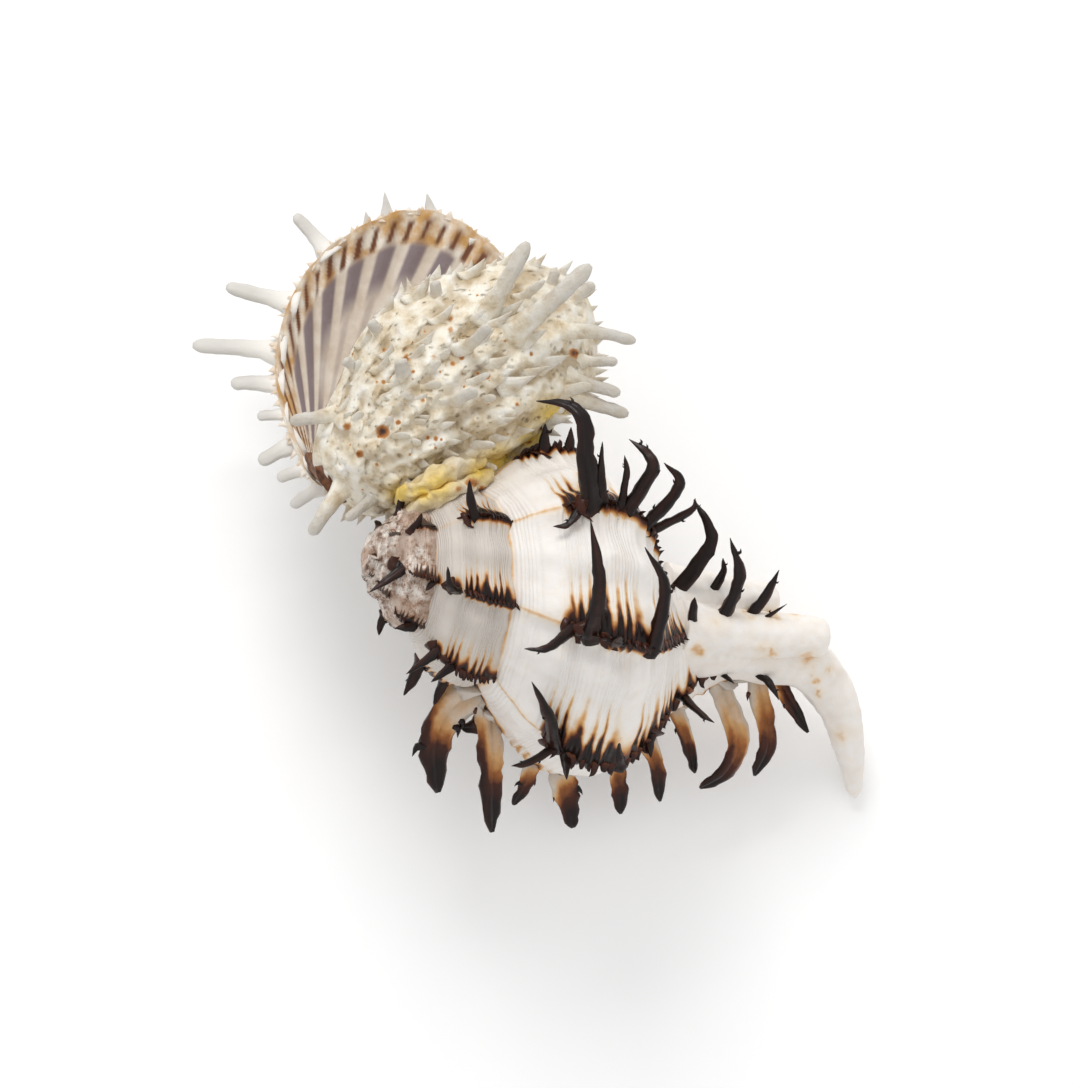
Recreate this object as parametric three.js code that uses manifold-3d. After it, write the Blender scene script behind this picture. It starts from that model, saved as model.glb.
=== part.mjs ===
// A murex shell with a young thorny oyster grown on its spire.
// Millimetres, +Z up, origin on the resting surface under the middle of the shell.
//
// The forms are laid out as one sees the shell's back: x to the right, y up, z towards the eye.
// The last step turns that view into the resting position.

import * as THREE from 'three';
import { mergeVertices } from 'three/addons/utils/BufferGeometryUtils.js';
import Module from 'manifold-3d';

// Driving dimensions of the murex
const LIP_GIRTH = 36.5;          // radius of the body whorl at the outer lip
const GIRTH_PER_TURN = 1.6;      // how much wider each whorl is than the one before
const APEX_STATION = -55;        // tip of the spire along the coiling axis
const SPIRE_SPAN = 47.4;         // from the tip of the spire to the shoulder at the lip
const STATION_PER_TURN = 2.16;   // how much further each shoulder lies from the tip
const VARICES_PER_TURN = 7;      // rows of spines in one whorl
const LIP_ANGLE = 203;           // degrees round the axis, 0 is up and 90 faces the eye
const VARIX_RISE = 0.085;        // how far a varix stands out, as a share of the girth
const SUTURE_SHARE = 0.48;       // place of the suture between two shoulders
const CORE_SHARE = 0.05;         // inner edge of a whorl as a share of its girth
const PLUG_INSET = 0.08;         // how much narrower a plug is, as a share of the girth

// How the coiling axis lies in the view of the back
const AXIS_DOWN = 13;            // degrees that the canal end points down
const AXIS_AWAY = 22;            // degrees that the canal end points away from the eye

// How the view of the back is turned to rest on a surface
const EYE_HEIGHT = 84;           // degrees that the eye looks down
const REST_DEPTH = 35.5;         // from the coiling axis down to the surface it rests on

const radians = THREE.MathUtils.degToRad;
const wasm = await Module();
wasm.setup();

// Solids

function solidOf(points, faces) {
  const loose = new THREE.BufferGeometry();
  const flat = points.flatMap((point) => [point.x, point.y, point.z]);
  loose.setAttribute('position', new THREE.Float32BufferAttribute(flat, 3));
  loose.setIndex(faces.flat());
  return solidFrom(loose, 1e-4);
}

function solidFrom(geometry, tolerance) {
  const tight = mergeVertices(geometry, tolerance);
  return new wasm.Manifold(new wasm.Mesh({
    numProp: 3,
    vertProperties: new Float32Array(tight.attributes.position.array),
    triVerts: new Uint32Array(tight.index.array),
  }));
}

function geometryOf(solid) {
  const { vertProperties, triVerts } = solid.getMesh();
  const geometry = new THREE.BufferGeometry();
  geometry.setAttribute('position', new THREE.Float32BufferAttribute(vertProperties, 3));
  geometry.setIndex(new THREE.Uint32BufferAttribute(triVerts, 1));
  return geometry;
}

// The outer skin alone: small voids left between the joined pieces are filled.
function withoutVoids(solid) {
  const skins = solidFrom(geometryOf(solid), 1e-3).decompose();
  return skins.reduce((most, skin) => (skin.volume() > most.volume() ? skin : most));
}

// A solid through a row of closed rings with the same number of points.
function loft(rings) {
  const count = rings[0].length;
  const points = rings.flat();
  const faces = [];
  for (let ring = 0; ring + 1 < rings.length; ring += 1) {
    for (let i = 0; i < count; i += 1) {
      const next = (i + 1) % count;
      const a = ring * count + i;
      const b = ring * count + next;
      const c = a + count;
      const d = b + count;
      faces.push([a, b, d], [a, d, c]);
    }
  }
  const last = (rings.length - 1) * count;
  for (const [a, b, c] of flatFaces(rings[0])) {
    faces.push([c, b, a]);
  }
  for (const [a, b, c] of flatFaces(rings[rings.length - 1])) {
    faces.push([last + a, last + b, last + c]);
  }
  return outward(points, faces);
}

// Triangles over one nearly flat ring, wound as the ring is.
function flatFaces(ring) {
  const normal = new THREE.Vector3();
  ring.forEach((point, i) => {
    normal.add(point.clone().cross(ring[(i + 1) % ring.length]));
  });
  normal.normalize();
  const right = ring[1].clone().sub(ring[0]).projectOnPlane(normal).normalize();
  const up = normal.clone().cross(right);
  const outline = ring.map((point) => new THREE.Vector2(point.dot(right), point.dot(up)));
  return THREE.ShapeUtils.triangulateShape(outline, []).map(([a, b, c]) => {
    const side = outline[b].clone().sub(outline[a]).cross(outline[c].clone().sub(outline[a]));
    return side > 0 ? [a, b, c] : [a, c, b];
  });
}

// Turns a closed mesh so that its faces point out.
function outward(points, faces) {
  let volume = 0;
  for (const [a, b, c] of faces) {
    volume += points[a].dot(points[b].clone().cross(points[c]));
  }
  return solidOf(points, volume > 0 ? faces : faces.map(([a, b, c]) => [c, b, a]));
}

// A bent tapering rod along a smooth curve, flattened across the given direction.
function rod(controls, radii, { sides = 5, rings = 4, flatness = 1, across = null } = {}) {
  const curve = new THREE.CatmullRomCurve3(controls, false, 'centripetal');
  const reach = radii.length - 1;
  const loops = [];
  let side = across ? across.clone() : new THREE.Vector3(0.3, 0.2, 1);
  for (let ring = 0; ring <= rings; ring += 1) {
    const share = ring / rings;
    const centre = curve.getPoint(share);
    const along = curve.getTangent(share);
    side = side.projectOnPlane(along).normalize();
    const other = along.clone().cross(side);
    const low = Math.min(Math.floor(share * reach), reach - 1);
    const radius = THREE.MathUtils.lerp(radii[low], radii[low + 1], share * reach - low);
    const loop = [];
    for (let i = 0; i < sides; i += 1) {
      const turn = (2 * Math.PI * i) / sides;
      const step = side.clone().multiplyScalar(Math.cos(turn) * radius);
      step.addScaledVector(other, Math.sin(turn) * radius * flatness);
      loop.push(centre.clone().add(step));
    }
    loops.push(loop);
  }
  return loft(loops);
}

function joined(solids) {
  return solids.reduce((all, solid) => all.add(solid));
}

// The coiling axis and its two crosswise directions

const AXIS = new THREE.Vector3(
  Math.cos(radians(AXIS_DOWN)) * Math.cos(radians(AXIS_AWAY)),
  -Math.sin(radians(AXIS_DOWN)) * Math.cos(radians(AXIS_AWAY)),
  -Math.sin(radians(AXIS_AWAY)),
);
const AXIS_UP = new THREE.Vector3(Math.sin(radians(AXIS_DOWN)), Math.cos(radians(AXIS_DOWN)), 0);
const AXIS_OUT = AXIS.clone().cross(AXIS_UP);

function outFromAxis(degrees) {
  const angle = radians(degrees);
  return AXIS_UP.clone().multiplyScalar(Math.cos(angle)).addScaledVector(AXIS_OUT, Math.sin(angle));
}

function onShell(station, radius, degrees) {
  return AXIS.clone().multiplyScalar(station).addScaledVector(outFromAxis(degrees), radius);
}

// The murex, by turns: 0 is the lip, -1 is one whorl before it

function angleAt(turn) {
  return LIP_ANGLE + 360 * turn;
}

function girthAt(turn) {
  return LIP_GIRTH * GIRTH_PER_TURN ** turn;
}

function shoulderAt(turn) {
  return APEX_STATION + SPIRE_SPAN * STATION_PER_TURN ** turn;
}

// A varix rises slowly towards the lip and drops quickly behind its crest.
function varixSwell(turn) {
  const place = turn * VARICES_PER_TURN;
  const off = place - Math.round(place);
  const breadth = off < 0 ? 0.2 : 0.11;
  return 1 + VARIX_RISE * Math.exp(-((off / breadth) ** 2));
}

// One cut through a whorl: [station, radius] from the axis over the ramp to the canal neck.
// These points are in shares of the girth, counted from the shoulder.
const WHORL_PROFILE = [
  [0, 0.88], [0.17, 0.975], [0.36, 1], [0.56, 0.93], [0.74, 0.73], [0.9, 0.5], [1.12, 0.28],
  [1.42, 0.17],
];

function whorlCut(turn, grow = 0) {
  const girth = girthAt(turn) * varixSwell(turn);
  const shoulder = shoulderAt(turn);
  const before = shoulderAt(turn - 1);
  const suture = before + SUTURE_SHARE * (shoulder - before);
  const sutureRadius = 0.93 * girthAt(turn - 1);
  const shoulderRadius = WHORL_PROFILE[0][1] * girth;
  const core = CORE_SHARE * girth;
  const cut = [
    [suture + 0.1 * girth, core],
    [suture - grow, 0.6 * sutureRadius],
    [suture - 0.2 - grow, sutureRadius],
    [suture + 0.5 * (shoulder - suture) - grow,
      sutureRadius + 0.62 * (shoulderRadius - sutureRadius) + grow],
  ];
  for (const [along, out] of WHORL_PROFILE) {
    cut.push([shoulder + along * girthAt(turn), out * girth + grow]);
  }
  cut.push([shoulder + 1.5 * girthAt(turn), core]);
  return cut;
}

// Steps between two varices, closest on both sides of a crest.
const VARIX_STEPS = { fine: [0, 0.14, 0.6], plain: [0, 0.3], rough: [0] };

function whorlTurns(firstVarix, lastVarix, steps) {
  const turns = [];
  for (let varix = firstVarix; varix < lastVarix; varix += 1) {
    steps.forEach((step) => turns.push((varix + step) / VARICES_PER_TURN));
  }
  turns.push(lastVarix / VARICES_PER_TURN);
  return turns;
}

function whorlRing(turn, grow) {
  return whorlCut(turn, grow).map(([station, radius]) => onShell(station, radius, angleAt(turn)));
}

// A stretch of the whorls that begins with a narrower plug inside the stretch before it.
function whorl(firstVarix, lastVarix, steps, grow) {
  const plugTurn = (firstVarix - 0.3) / VARICES_PER_TURN;
  return loft([
    whorlRing(plugTurn, -PLUG_INSET * girthAt(plugTurn)),
    ...whorlTurns(firstVarix, lastVarix, steps).map((turn) => whorlRing(turn, grow)),
  ]);
}

function columella() {
  return rod(
    [AXIS.clone().multiplyScalar(APEX_STATION + 1.2), AXIS.clone().multiplyScalar(42)],
    [0.6, 3.4, 4.2, 4.4, 5, 6.4, 5.2],
    { sides: 8, rings: 8 },
  );
}

// The hollow behind the outer lip, narrowing as it goes up the whorl.
const HOLLOW_LENGTH = 0.46;
const HOLLOW_STEPS = 9;
const HOLLOW_SIDES = 12;

function hollow() {
  const loops = [];
  for (let step = 0; step <= HOLLOW_STEPS; step += 1) {
    const turn = 0.035 - (HOLLOW_LENGTH * step) / HOLLOW_STEPS;
    const girth = girthAt(turn);
    const size = girth * Math.sqrt(1 - 0.93 * (step / HOLLOW_STEPS) ** 2);
    const loop = [];
    for (let i = 0; i < HOLLOW_SIDES; i += 1) {
      const angle = (2 * Math.PI * i) / HOLLOW_SIDES;
      const station = shoulderAt(turn) + 0.42 * girth + 0.4 * size * Math.cos(angle);
      const radius = 0.575 * girth + 0.32 * size * Math.sin(angle);
      loop.push(onShell(station, radius, angleAt(turn)));
    }
    loops.push(loop);
  }
  return loft(loops);
}

// Spines. A path is read off the view of the back: the root on its varix as [x, y], then
// points as [x, y, lift], where the lift is how much nearer to the eye than the root a point is.

const SPINE_SINK = 1.4;          // how deep a root is set into the shell
const BODY_SPINES = [
  // Fourth varix before the lip, half under the oyster
  [-4, 3.4, [-11.8, 33.2], [-11.5, 38.2, 1]],
  [-4, 2.8, [-5.9, 34], [-6.1, 37.5, 1]],
  [-4, 2.6, [3.5, 27], [0.5, 34.5, 0]],
  // Third varix before the lip
  [-3, 2.2, [-3.6, 19.9], [-6.7, 17.2, 2], [-9.9, 16.6, 3]],
  [-3, 4.4, [-1.7, 20.8], [-3.1, 30.7, 7], [-3.6, 38.2, 8], [-7.1, 41.6, 7], [-13.4, 42.4, 5]],
  [-3, 2.4, [0.6, 20.8], [0, 27.5, 5], [0.2, 33.2, 6]],
  [-3, 2, [4.6, 22.9], [5.2, 27.5, 4], [4.8, 31.3, 4]],
  [-3, 3.2, [6.7, 22.9], [10.5, 28.1, 6], [9.4, 31.7, 6], [5.7, 34.6, 5]],
  [-3, 3, [14.1, 19.7], [16.2, 25.2, 5], [13, 29.8, 5]],
  [-3, 2.4, [15.1, 17.2], [18.5, 19.7, 4], [19.5, 22.5, 5]],
  [-3, 3.4, [18.9, 6.5], [22.7, 12.2, 6], [22.5, 17, 7], [19.5, 22.3, 6]],
  [-3, 2.4, [23.5, 3.4], [25.6, 6.5, 4], [25.8, 10.1, 5]],
  // Second varix before the lip
  [-2, 2.6, [-6.3, -5.5], [-10.9, -8.2, 5], [-15.8, -8.4, 6]],
  [-2, 3.8, [-1.3, -3.4], [-0.4, 5.5, 9], [-2.3, 17.8, 13]],
  [-2, 3.4, [3.8, -4.6], [4, -5.9, 5]],
  [-2, 3.4, [10.9, -3.4], [13, 3.8, 8], [8.8, 12.4, 12]],
  [-2, 2.6, [18.9, -3.8], [19.3, -0.8, 5], [19.7, 1.9, 7]],
  [-2, 3.8, [23.5, -3.8], [29, 5, 7], [27.1, 14.3, 10]],
  [-2, 3.2, [30.7, -2.5], [34.6, 1.9, 4], [37.6, 7.6, 6]],
  [-2, 2.4, [35.9, -2.7], [39.3, 0.4, 4]],
  // First varix before the lip
  [-1, 3.6, [-10.1, -29.8], [-10.9, -22.3, 8], [-14.3, -15.3, 11]],
  [-1, 2.2, [-11.5, -31.3], [-15.1, -32.3, 4], [-18.5, -32.8, 6]],
  [-1, 3.2, [-7.1, -30.7], [-7.1, -35.7, 4]],
  [-1, 3, [2.9, -30.7], [2.7, -25.2, 7], [1.7, -19.3, 10]],
  [-1, 3, [10.5, -28.1], [10.5, -31.5, 4]],
  [-1, 2.4, [18.5, -19.7], [21.2, -22.5, 4], [23.9, -24.4, 6]],
  [-1, 2.2, [25.8, -13.4], [28.3, -16.4, 4]],
  [-1, 2.8, [33, -13.4], [35.9, -16.4, 4], [37.8, -19.9, 5]],
];

// The fronds of the outer lip are broad and flat.
const LIP_FRONDS = [
  [0, 6.4, [-25.6, -17.6], [-31.9, -22.3, 0], [-34.6, -29.8, 0], [-34, -39.3, -3]],
  [0, 5.4, [-23.1, -22.9], [-22.7, -35.5, -2], [-22.7, -48.3, -5]],
  [0, 3, [-21, -24.4], [-25.2, -25.6, 1], [-29.2, -25.8, 0]],
  [0, 2.8, [-13.4, -32.3], [-15.5, -37.8, -1], [-18.3, -42.4, -3]],
  [0, 4.4, [-7.6, -32.8], [-6.9, -40.7, -2], [-5.5, -47.7, -5]],
  [0, 3.4, [2.3, -30.7], [4.2, -37.6, -1], [4.6, -44.5, -4]],
  [0, 3.2, [9.7, -27.7], [12.2, -34.4, -1], [13, -41.8, -4]],
  [0, 2.8, [16.2, -21.8], [18.9, -29.2, 0], [20.4, -35.7, -3]],
  [0, 4.2, [26.5, -18.7], [29.6, -28.1, 1], [26.9, -35.3, 0], [21.4, -38.9, -2]],
  [0, 3.8, [33.6, -18.7], [35.9, -28.6, 1], [33, -36.3, -1]],
  [0, 3.2, [41.6, -22.3], [44.5, -27.1, -2]],
];

const SPIRE_SPINES = [
  [-9, 2.6, [-30.7, 1.3], [-31.1, 4.4, 4], [-31.5, 8.4, 6]],
  [-9, 2.4, [-35.7, 2.1], [-36.1, 3.4, 3]],
  [-10, 2.6, [-26, 18.7], [-26.9, 22.3, 3], [-27.1, 26.2, 4]],
  [-8, 2.6, [-31.5, -13], [-35.1, -15.5, 3]],
  [-8, 2.6, [-36.8, -11.3], [-40.3, -13.9, 2]],
  [-15, 2.8, [-38.2, -1.9], [-42.6, -4.4, 2]],
  [-16, 2.8, [-42.8, 4.2], [-47.7, 3.1, 3]],
];

// Spines on the side away from the eye: [varix, width, place on the cut, length, lean].
// The place counts the points of the cut; the lean is towards the spire.
const TO_SURFACE = 'to the resting surface';
const HIDDEN_SPINES = [
  [-5, 4, 4, 17, 4], [-5, 3.2, 5.4, 13, 2], [-5, 3.4, 7, 15, 1], [-5, 2.8, 8.2, 9, 1],
  [-5, 3, 9.2, 9, 0], [-5, 2.4, 10.2, 6, -1],
  [-6, 4, 4, 13, 3], [-6, 4.4, 5.6, TO_SURFACE, 0], [-6, 3.4, 7, 12, 1], [-6, 2.8, 8.2, 8, 0],
  [-6, 2.6, 9.4, 7, -1],
  [-11, 2.8, 4, 6, 1], [-11, 2.2, 5.6, 4, 0], [-12, 2.8, 4, 6, 1], [-12, 2.2, 5.6, 4, 0],
  [-13, 2.6, 4, 5, 1], [-13, 2.2, 5.6, 4, 0], [-7, 3, 4, 7, 2], [-7, 2.6, 5.6, 5, 1],
  [-17, 2, 4, 3.5, 0], [-18, 2, 4, 3.5, 0], [-19, 2, 4, 3.5, 0], [-14, 2, 4, 3.5, 0],
];

function crestPoint(varix, place) {
  const turn = varix / VARICES_PER_TURN;
  const cut = whorlCut(turn);
  const low = Math.min(Math.floor(place), cut.length - 2);
  const station = THREE.MathUtils.lerp(cut[low][0], cut[low + 1][0], place - low);
  const radius = THREE.MathUtils.lerp(cut[low][1], cut[low + 1][1], place - low);
  return onShell(station, radius, angleAt(turn));
}

// The place on a varix that is seen nearest to [x, y].
function rootOn(varix, [x, y]) {
  let best = null;
  let nearest = Infinity;
  for (let place = 2; place <= 11; place += 0.05) {
    const point = crestPoint(varix, place);
    const gap = Math.hypot(point.x - x, point.y - y);
    if (gap < nearest) {
      nearest = gap;
      best = point;
    }
  }
  return best;
}

const SPINE_TAPER = [1.3, 1.05, 0.9, 0.7, 0.14];
const FROND_TAPER = [1.2, 1.05, 1, 0.85, 0.25];

function spine([varix, width, seen, ...bends], grow, flatness = 0.8, taper = SPINE_TAPER) {
  const root = rootOn(varix, seen);
  const inward = outFromAxis(angleAt(varix / VARICES_PER_TURN)).multiplyScalar(-SPINE_SINK);
  const path = [root.clone().add(inward), root];
  bends.forEach(([x, y, lift]) => path.push(new THREE.Vector3(x, y, root.z + lift)));
  const half = width / 2;
  const radii = taper.map((share) => share * half + grow);
  return rod(path, radii, { sides: 4, rings: bends.length + 2, flatness, across: AXIS });
}

// How far along a direction the resting surface is from a point.
const DOWN = new THREE.Vector3(0, -Math.cos(radians(EYE_HEIGHT)), -Math.sin(radians(EYE_HEIGHT)));

function reachDown(point, direction) {
  return (REST_DEPTH - point.dot(DOWN)) / direction.dot(DOWN);
}

function hiddenSpine([varix, width, place, wanted, lean], grow) {
  const root = crestPoint(varix, place);
  const out = outFromAxis(angleAt(varix / VARICES_PER_TURN));
  const rests = wanted === TO_SURFACE;
  const length = rests ? reachDown(root, out) : wanted;
  const recurve = rests ? 0 : 0.35 * length;
  const back = outFromAxis(angleAt(varix / VARICES_PER_TURN) - 90);
  const at = (share, bend) => root.clone()
    .addScaledVector(out, length * share)
    .addScaledVector(back, recurve * bend)
    .addScaledVector(AXIS, -lean * bend);
  const half = width / 2;
  return rod(
    [at(-SPINE_SINK / length, 0), at(0.5, 0.25), at(1, 1)],
    [1.25, 0.95, 0.7, 0.2].map((share) => share * half + grow),
    { sides: 4, rings: 3, flatness: 0.8, across: AXIS },
  );
}

// The siphonal canal with its bent tip, and the canals of two earlier stages beside it.
const CANALS = [
  {
    path: [[18, -6, -8], [34, -9.5, -12.5], [44, -12.5, -16], [50.6, -20.4, -20], [54, -31, -25],
      [55.2, -41.4, -30]],
    radii: [8, 7, 5.6, 4.6, 3.2, 1.3],
    rings: 9,
  },
  {
    path: [[16, -4.6, 2], [30, -6, -4], [41, -6.4, -8], [48.7, -6.9, -10]],
    radii: [5.5, 4.6, 4, 3.5],
    rings: 5,
  },
  {
    path: [[18, 1, -6], [30, 1.2, -10], [40, 1.4, -14]],
    radii: [5, 4, 2.8],
    rings: 4,
  },
];

function murex(grow = 0) {
  const pieces = [
    whorl(-30, -25, VARIX_STEPS.rough, grow),
    whorl(-25, -20, VARIX_STEPS.rough, grow),
    whorl(-20, -15, VARIX_STEPS.plain, grow),
    whorl(-15, -10, VARIX_STEPS.plain, grow),
    whorl(-10, -5, VARIX_STEPS.fine, grow),
    whorl(-5, 0, VARIX_STEPS.fine, grow),
    columella(),
  ];
  const canals = CANALS.map(({ path, radii, rings }) => rod(
    path.map((point) => new THREE.Vector3(...point)),
    radii.map((radius) => radius + grow),
    { sides: 8, rings },
  ));
  const spines = [
    ...BODY_SPINES.map((entry) => spine(entry, grow)),
    ...LIP_FRONDS.map((entry) => spine(entry, grow, 0.6, FROND_TAPER)),
    ...SPIRE_SPINES.map((entry) => spine(entry, grow)),
    ...HIDDEN_SPINES.map((entry) => hiddenSpine(entry, grow)),
  ];
  const whole = joined([...pieces, ...canals]);
  return joined([grow > 0 ? whole : whole.subtract(hollow()), ...spines]);
}

// The thorny oyster: two bowls, each on a tilted plane. An edge is read off the same view.

const VALVE_RINGS = [1, 0.78, 0.42];
const VALVE_EDGE_STEPS = 26;
const VALVE_THICKNESS = 2.4;
const EDGE_THICKNESS = 1.2;

const ATTACHED_VALVE = {
  edge: [[-59.2, 27.5], [-58.8, 37], [-54.4, 46.4], [-50.6, 55], [-43.7, 63], [-33.2, 68.5],
    [-23.1, 71], [-12.4, 71], [-3.6, 66], [-0.6, 55.9], [-2.1, 44.9], [-11.5, 36.5],
    [-25.2, 25.5], [-37.8, 20.5], [-50.4, 19.4]],
  centre: [-36, 44],
  middleDepth: 7,
  slope: [-0.25, 0.33],
  bulge: 15,
};

const FREE_VALVE = {
  edge: [[-59.6, 25.4], [-64.5, 33.4], [-68, 44.3], [-68.5, 53.8], [-65.5, 64.9], [-59.8, 73.7],
    [-52.5, 79.4], [-42, 83.8], [-32.1, 82.7], [-22.7, 76.2], [-14.7, 67.4], [-11.5, 55.9],
    [-14.7, 43.3], [-23.1, 32.8], [-35.7, 25.4], [-49.4, 22.3]],
  centre: [-44, 52],
  middleDepth: -13,
  slope: [-0.1, -0.44],
  bulge: -12,
};

const ATTACHED_SPINES = [
  [3.4, [-24.1, 59.6], [-19.5, 67.4, 4], [-15.1, 75.4, 5]],
  [3.8, [-18.5, 56.3], [-10.1, 63.2, 6], [-2.1, 70.6, 6]],
  [2.8, [-8.4, 58], [0, 56.9, 3], [7.3, 55.2, 2]],
  [2.4, [-3.1, 51.2], [3.6, 51.2, 1]],
  [2.8, [-5.9, 47.5], [4.2, 44.5, 1]],
  [2.8, [-6.3, 44.5], [5.9, 40.1, 0]],
  [2.8, [-55.6, 40.1], [-64.5, 38.6, 2]],
  [3.2, [-53.5, 24.8], [-57.8, 19.1, 2], [-60.3, 14.9, 1]],
  [2.6, [-46.2, 22.3], [-53.1, 18.1, 2]],
  [2.6, [-28.8, 53.3], [-25.6, 55.4, 5], [-23.1, 58, 8]],
  [2.6, [-31.5, 41.2], [-28.6, 43.3, 5], [-25.6, 44.7, 7]],
  [3.4, [-40.9, 47.5], [-41.4, 50.8, 6]],
  [2.6, [-9.9, 66.4], [-9.2, 70.1, 1]],
  [2.6, [-5.2, 64.3], [-1.3, 67.4, 1]],
  [2.4, [-33.6, 64.3], [-34.4, 67.6, 2]],
  [2.4, [-45.1, 56.9], [-47.9, 59.2, 3]],
  [2.4, [-51.4, 49.6], [-53.3, 51.2, 3]],
];

const FREE_SPINES = [
  [2.8, [-58, 74.8], [-61.5, 79.4, 0], [-64.9, 83.2, 0]],
  [2.2, [-49.4, 79.4], [-49.8, 84, 1]],
  [3, [-44.9, 80.6], [-45.8, 88.2, 1]],
  [3, [-35.9, 81.2], [-36.8, 88, 1]],
  [2.2, [-27.7, 78.5], [-23.1, 77.7, 1]],
  [3.2, [-64.7, 64.3], [-71.8, 65.7, 1], [-79.2, 67.6, 2]],
  [3.4, [-67.4, 53.3], [-76.6, 54.6, 1], [-86.1, 55, 2]],
  [3, [-67.6, 46.2], [-77.9, 47, 1]],
  [2.2, [-66.4, 39.7], [-72.2, 39.9, 0]],
  [3.2, [-63.6, 33.8], [-71.8, 30.2, 1]],
  [2.6, [-61.7, 28.1], [-67.8, 26.7, 1]],
  [2.6, [-59.2, 23.3], [-64.9, 21, 0]],
  // On the back of the bowl
  [3, [-52, 66], [-55, 65, TO_SURFACE]],
  [3, [-36, 70], [-35, 70, TO_SURFACE]],
  [2.6, [-58, 52], [-66, 50, -9]],
  [2.8, [-44, 56], [-46, 54, -11]],
  [2.6, [-28, 60], [-23, 61, -8]],
  [2.6, [-52, 42], [-58, 38, -8]],
];

function valveNormal({ slope }) {
  return new THREE.Vector3(-slope[0], -slope[1], 1).normalize();
}

function onValvePlane({ centre, middleDepth, slope }, x, y) {
  return new THREE.Vector3(
    x,
    y,
    middleDepth + slope[0] * (x - centre[0]) + slope[1] * (y - centre[1]),
  );
}

// A point of the outer face: 0 is the middle of the bowl, 1 its edge.
function outerFace(valve, edgePoint, share) {
  const centre = onValvePlane(valve, ...valve.centre);
  return centre.lerp(edgePoint, share)
    .addScaledVector(valveNormal(valve), valve.bulge * (1 - share ** 2.4));
}

function valveEdge(valve) {
  const points = valve.edge.map(([x, y]) => onValvePlane(valve, x, y));
  const curve = new THREE.CatmullRomCurve3(points, true, 'centripetal');
  return Array.from({ length: VALVE_EDGE_STEPS }, (_, i) => curve.getPoint(i / VALVE_EDGE_STEPS));
}

function bowl(valve) {
  const inward = valveNormal(valve).multiplyScalar(-Math.sign(valve.bulge));
  const edge = valveEdge(valve);
  const points = [];
  const faces = [];
  for (const thick of [0, 1]) {
    for (const share of VALVE_RINGS) {
      const depth = thick * THREE.MathUtils.lerp(VALVE_THICKNESS, EDGE_THICKNESS, share);
      edge.forEach((edgePoint) => {
        points.push(outerFace(valve, edgePoint, share).addScaledVector(inward, depth));
      });
    }
    points.push(outerFace(valve, edge[0], 0).addScaledVector(inward, thick * VALVE_THICKNESS));
  }
  const perSide = VALVE_RINGS.length * VALVE_EDGE_STEPS + 1;
  const add = (a, b, c, flip) => faces.push(flip ? [a, c, b] : [a, b, c]);
  for (let i = 0; i < VALVE_EDGE_STEPS; i += 1) {
    const next = (i + 1) % VALVE_EDGE_STEPS;
    for (const side of [0, 1]) {
      const start = side * perSide;
      for (let ring = 0; ring + 1 < VALVE_RINGS.length; ring += 1) {
        const outer = start + ring * VALVE_EDGE_STEPS;
        const inner = outer + VALVE_EDGE_STEPS;
        add(outer + i, outer + next, inner + next, side === 1);
        add(outer + i, inner + next, inner + i, side === 1);
      }
      const last = start + (VALVE_RINGS.length - 1) * VALVE_EDGE_STEPS;
      add(last + i, last + next, start + perSide - 1, side === 1);
    }
    add(i, perSide + next, next, false);
    add(i, perSide + i, perSide + next, false);
  }
  return outward(points, faces);
}

// The place on the outer face of a valve that is seen nearest to [x, y].
function rootOnValve(valve, [x, y]) {
  let best = null;
  let nearest = Infinity;
  for (const edgePoint of valveEdge(valve)) {
    for (let share = 0; share <= 1; share += 0.04) {
      const point = outerFace(valve, edgePoint, share);
      const gap = Math.hypot(point.x - x, point.y - y);
      if (gap < nearest) {
        nearest = gap;
        best = point;
      }
    }
  }
  return best;
}

function valveSpine(valve, [width, seen, ...bends]) {
  const root = rootOnValve(valve, seen);
  const inward = valveNormal(valve).multiplyScalar(-Math.sign(valve.bulge));
  const path = [root.clone().addScaledVector(inward, 0.8)];
  bends.forEach(([x, y, lift]) => {
    const point = new THREE.Vector3(x, y, root.z);
    point.z -= lift === TO_SURFACE ? reachDown(point, new THREE.Vector3(0, 0, -1)) - 0.6 : -lift;
    path.push(point);
  });
  const radii = [1.3, 0.95, 0.85, 0.8, 0.6].map((share) => (share * width) / 2);
  return rod(path, radii, { sides: 4, rings: 3, flatness: 0.7, across: valveNormal(valve) });
}

function valveSolid(valve, spines) {
  return joined([bowl(valve), ...spines.map((entry) => valveSpine(valve, entry))]);
}

const TOUCHING_GAP = 0.35;
const body = murex();
const attached = valveSolid(ATTACHED_VALVE, ATTACHED_SPINES).subtract(murex(TOUCHING_GAP));
const free = valveSolid(FREE_VALVE, FREE_SPINES).subtract(murex(TOUCHING_GAP));

// The finished part

function meshOf(name, solid, color, roughness) {
  const geometry = geometryOf(withoutVoids(solid));
  geometry.computeVertexNormals();
  const material = new THREE.MeshStandardMaterial({ color, roughness, metalness: 0 });
  const mesh = new THREE.Mesh(geometry, material);
  mesh.name = name;
  return mesh;
}

const shell = new THREE.Group();
shell.add(meshOf('murex_shell', body, 0xe6d8c6, 0.45));
shell.add(meshOf('oyster_attached_valve', attached, 0xf1ead9, 0.6));
shell.add(meshOf('oyster_free_valve', free, 0xcdbfb4, 0.5));
shell.rotation.x = radians(90 - EYE_HEIGHT);
shell.updateMatrixWorld(true);

// The origin is on the resting surface, under the middle of the box round the whole.
const box = new THREE.Box3().setFromObject(shell, true);
const part = new THREE.Group();
part.add(shell);
part.position.set(-(box.min.x + box.max.x) / 2, -(box.min.y + box.max.y) / 2, -box.min.z);

export default part;
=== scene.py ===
import math

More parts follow.
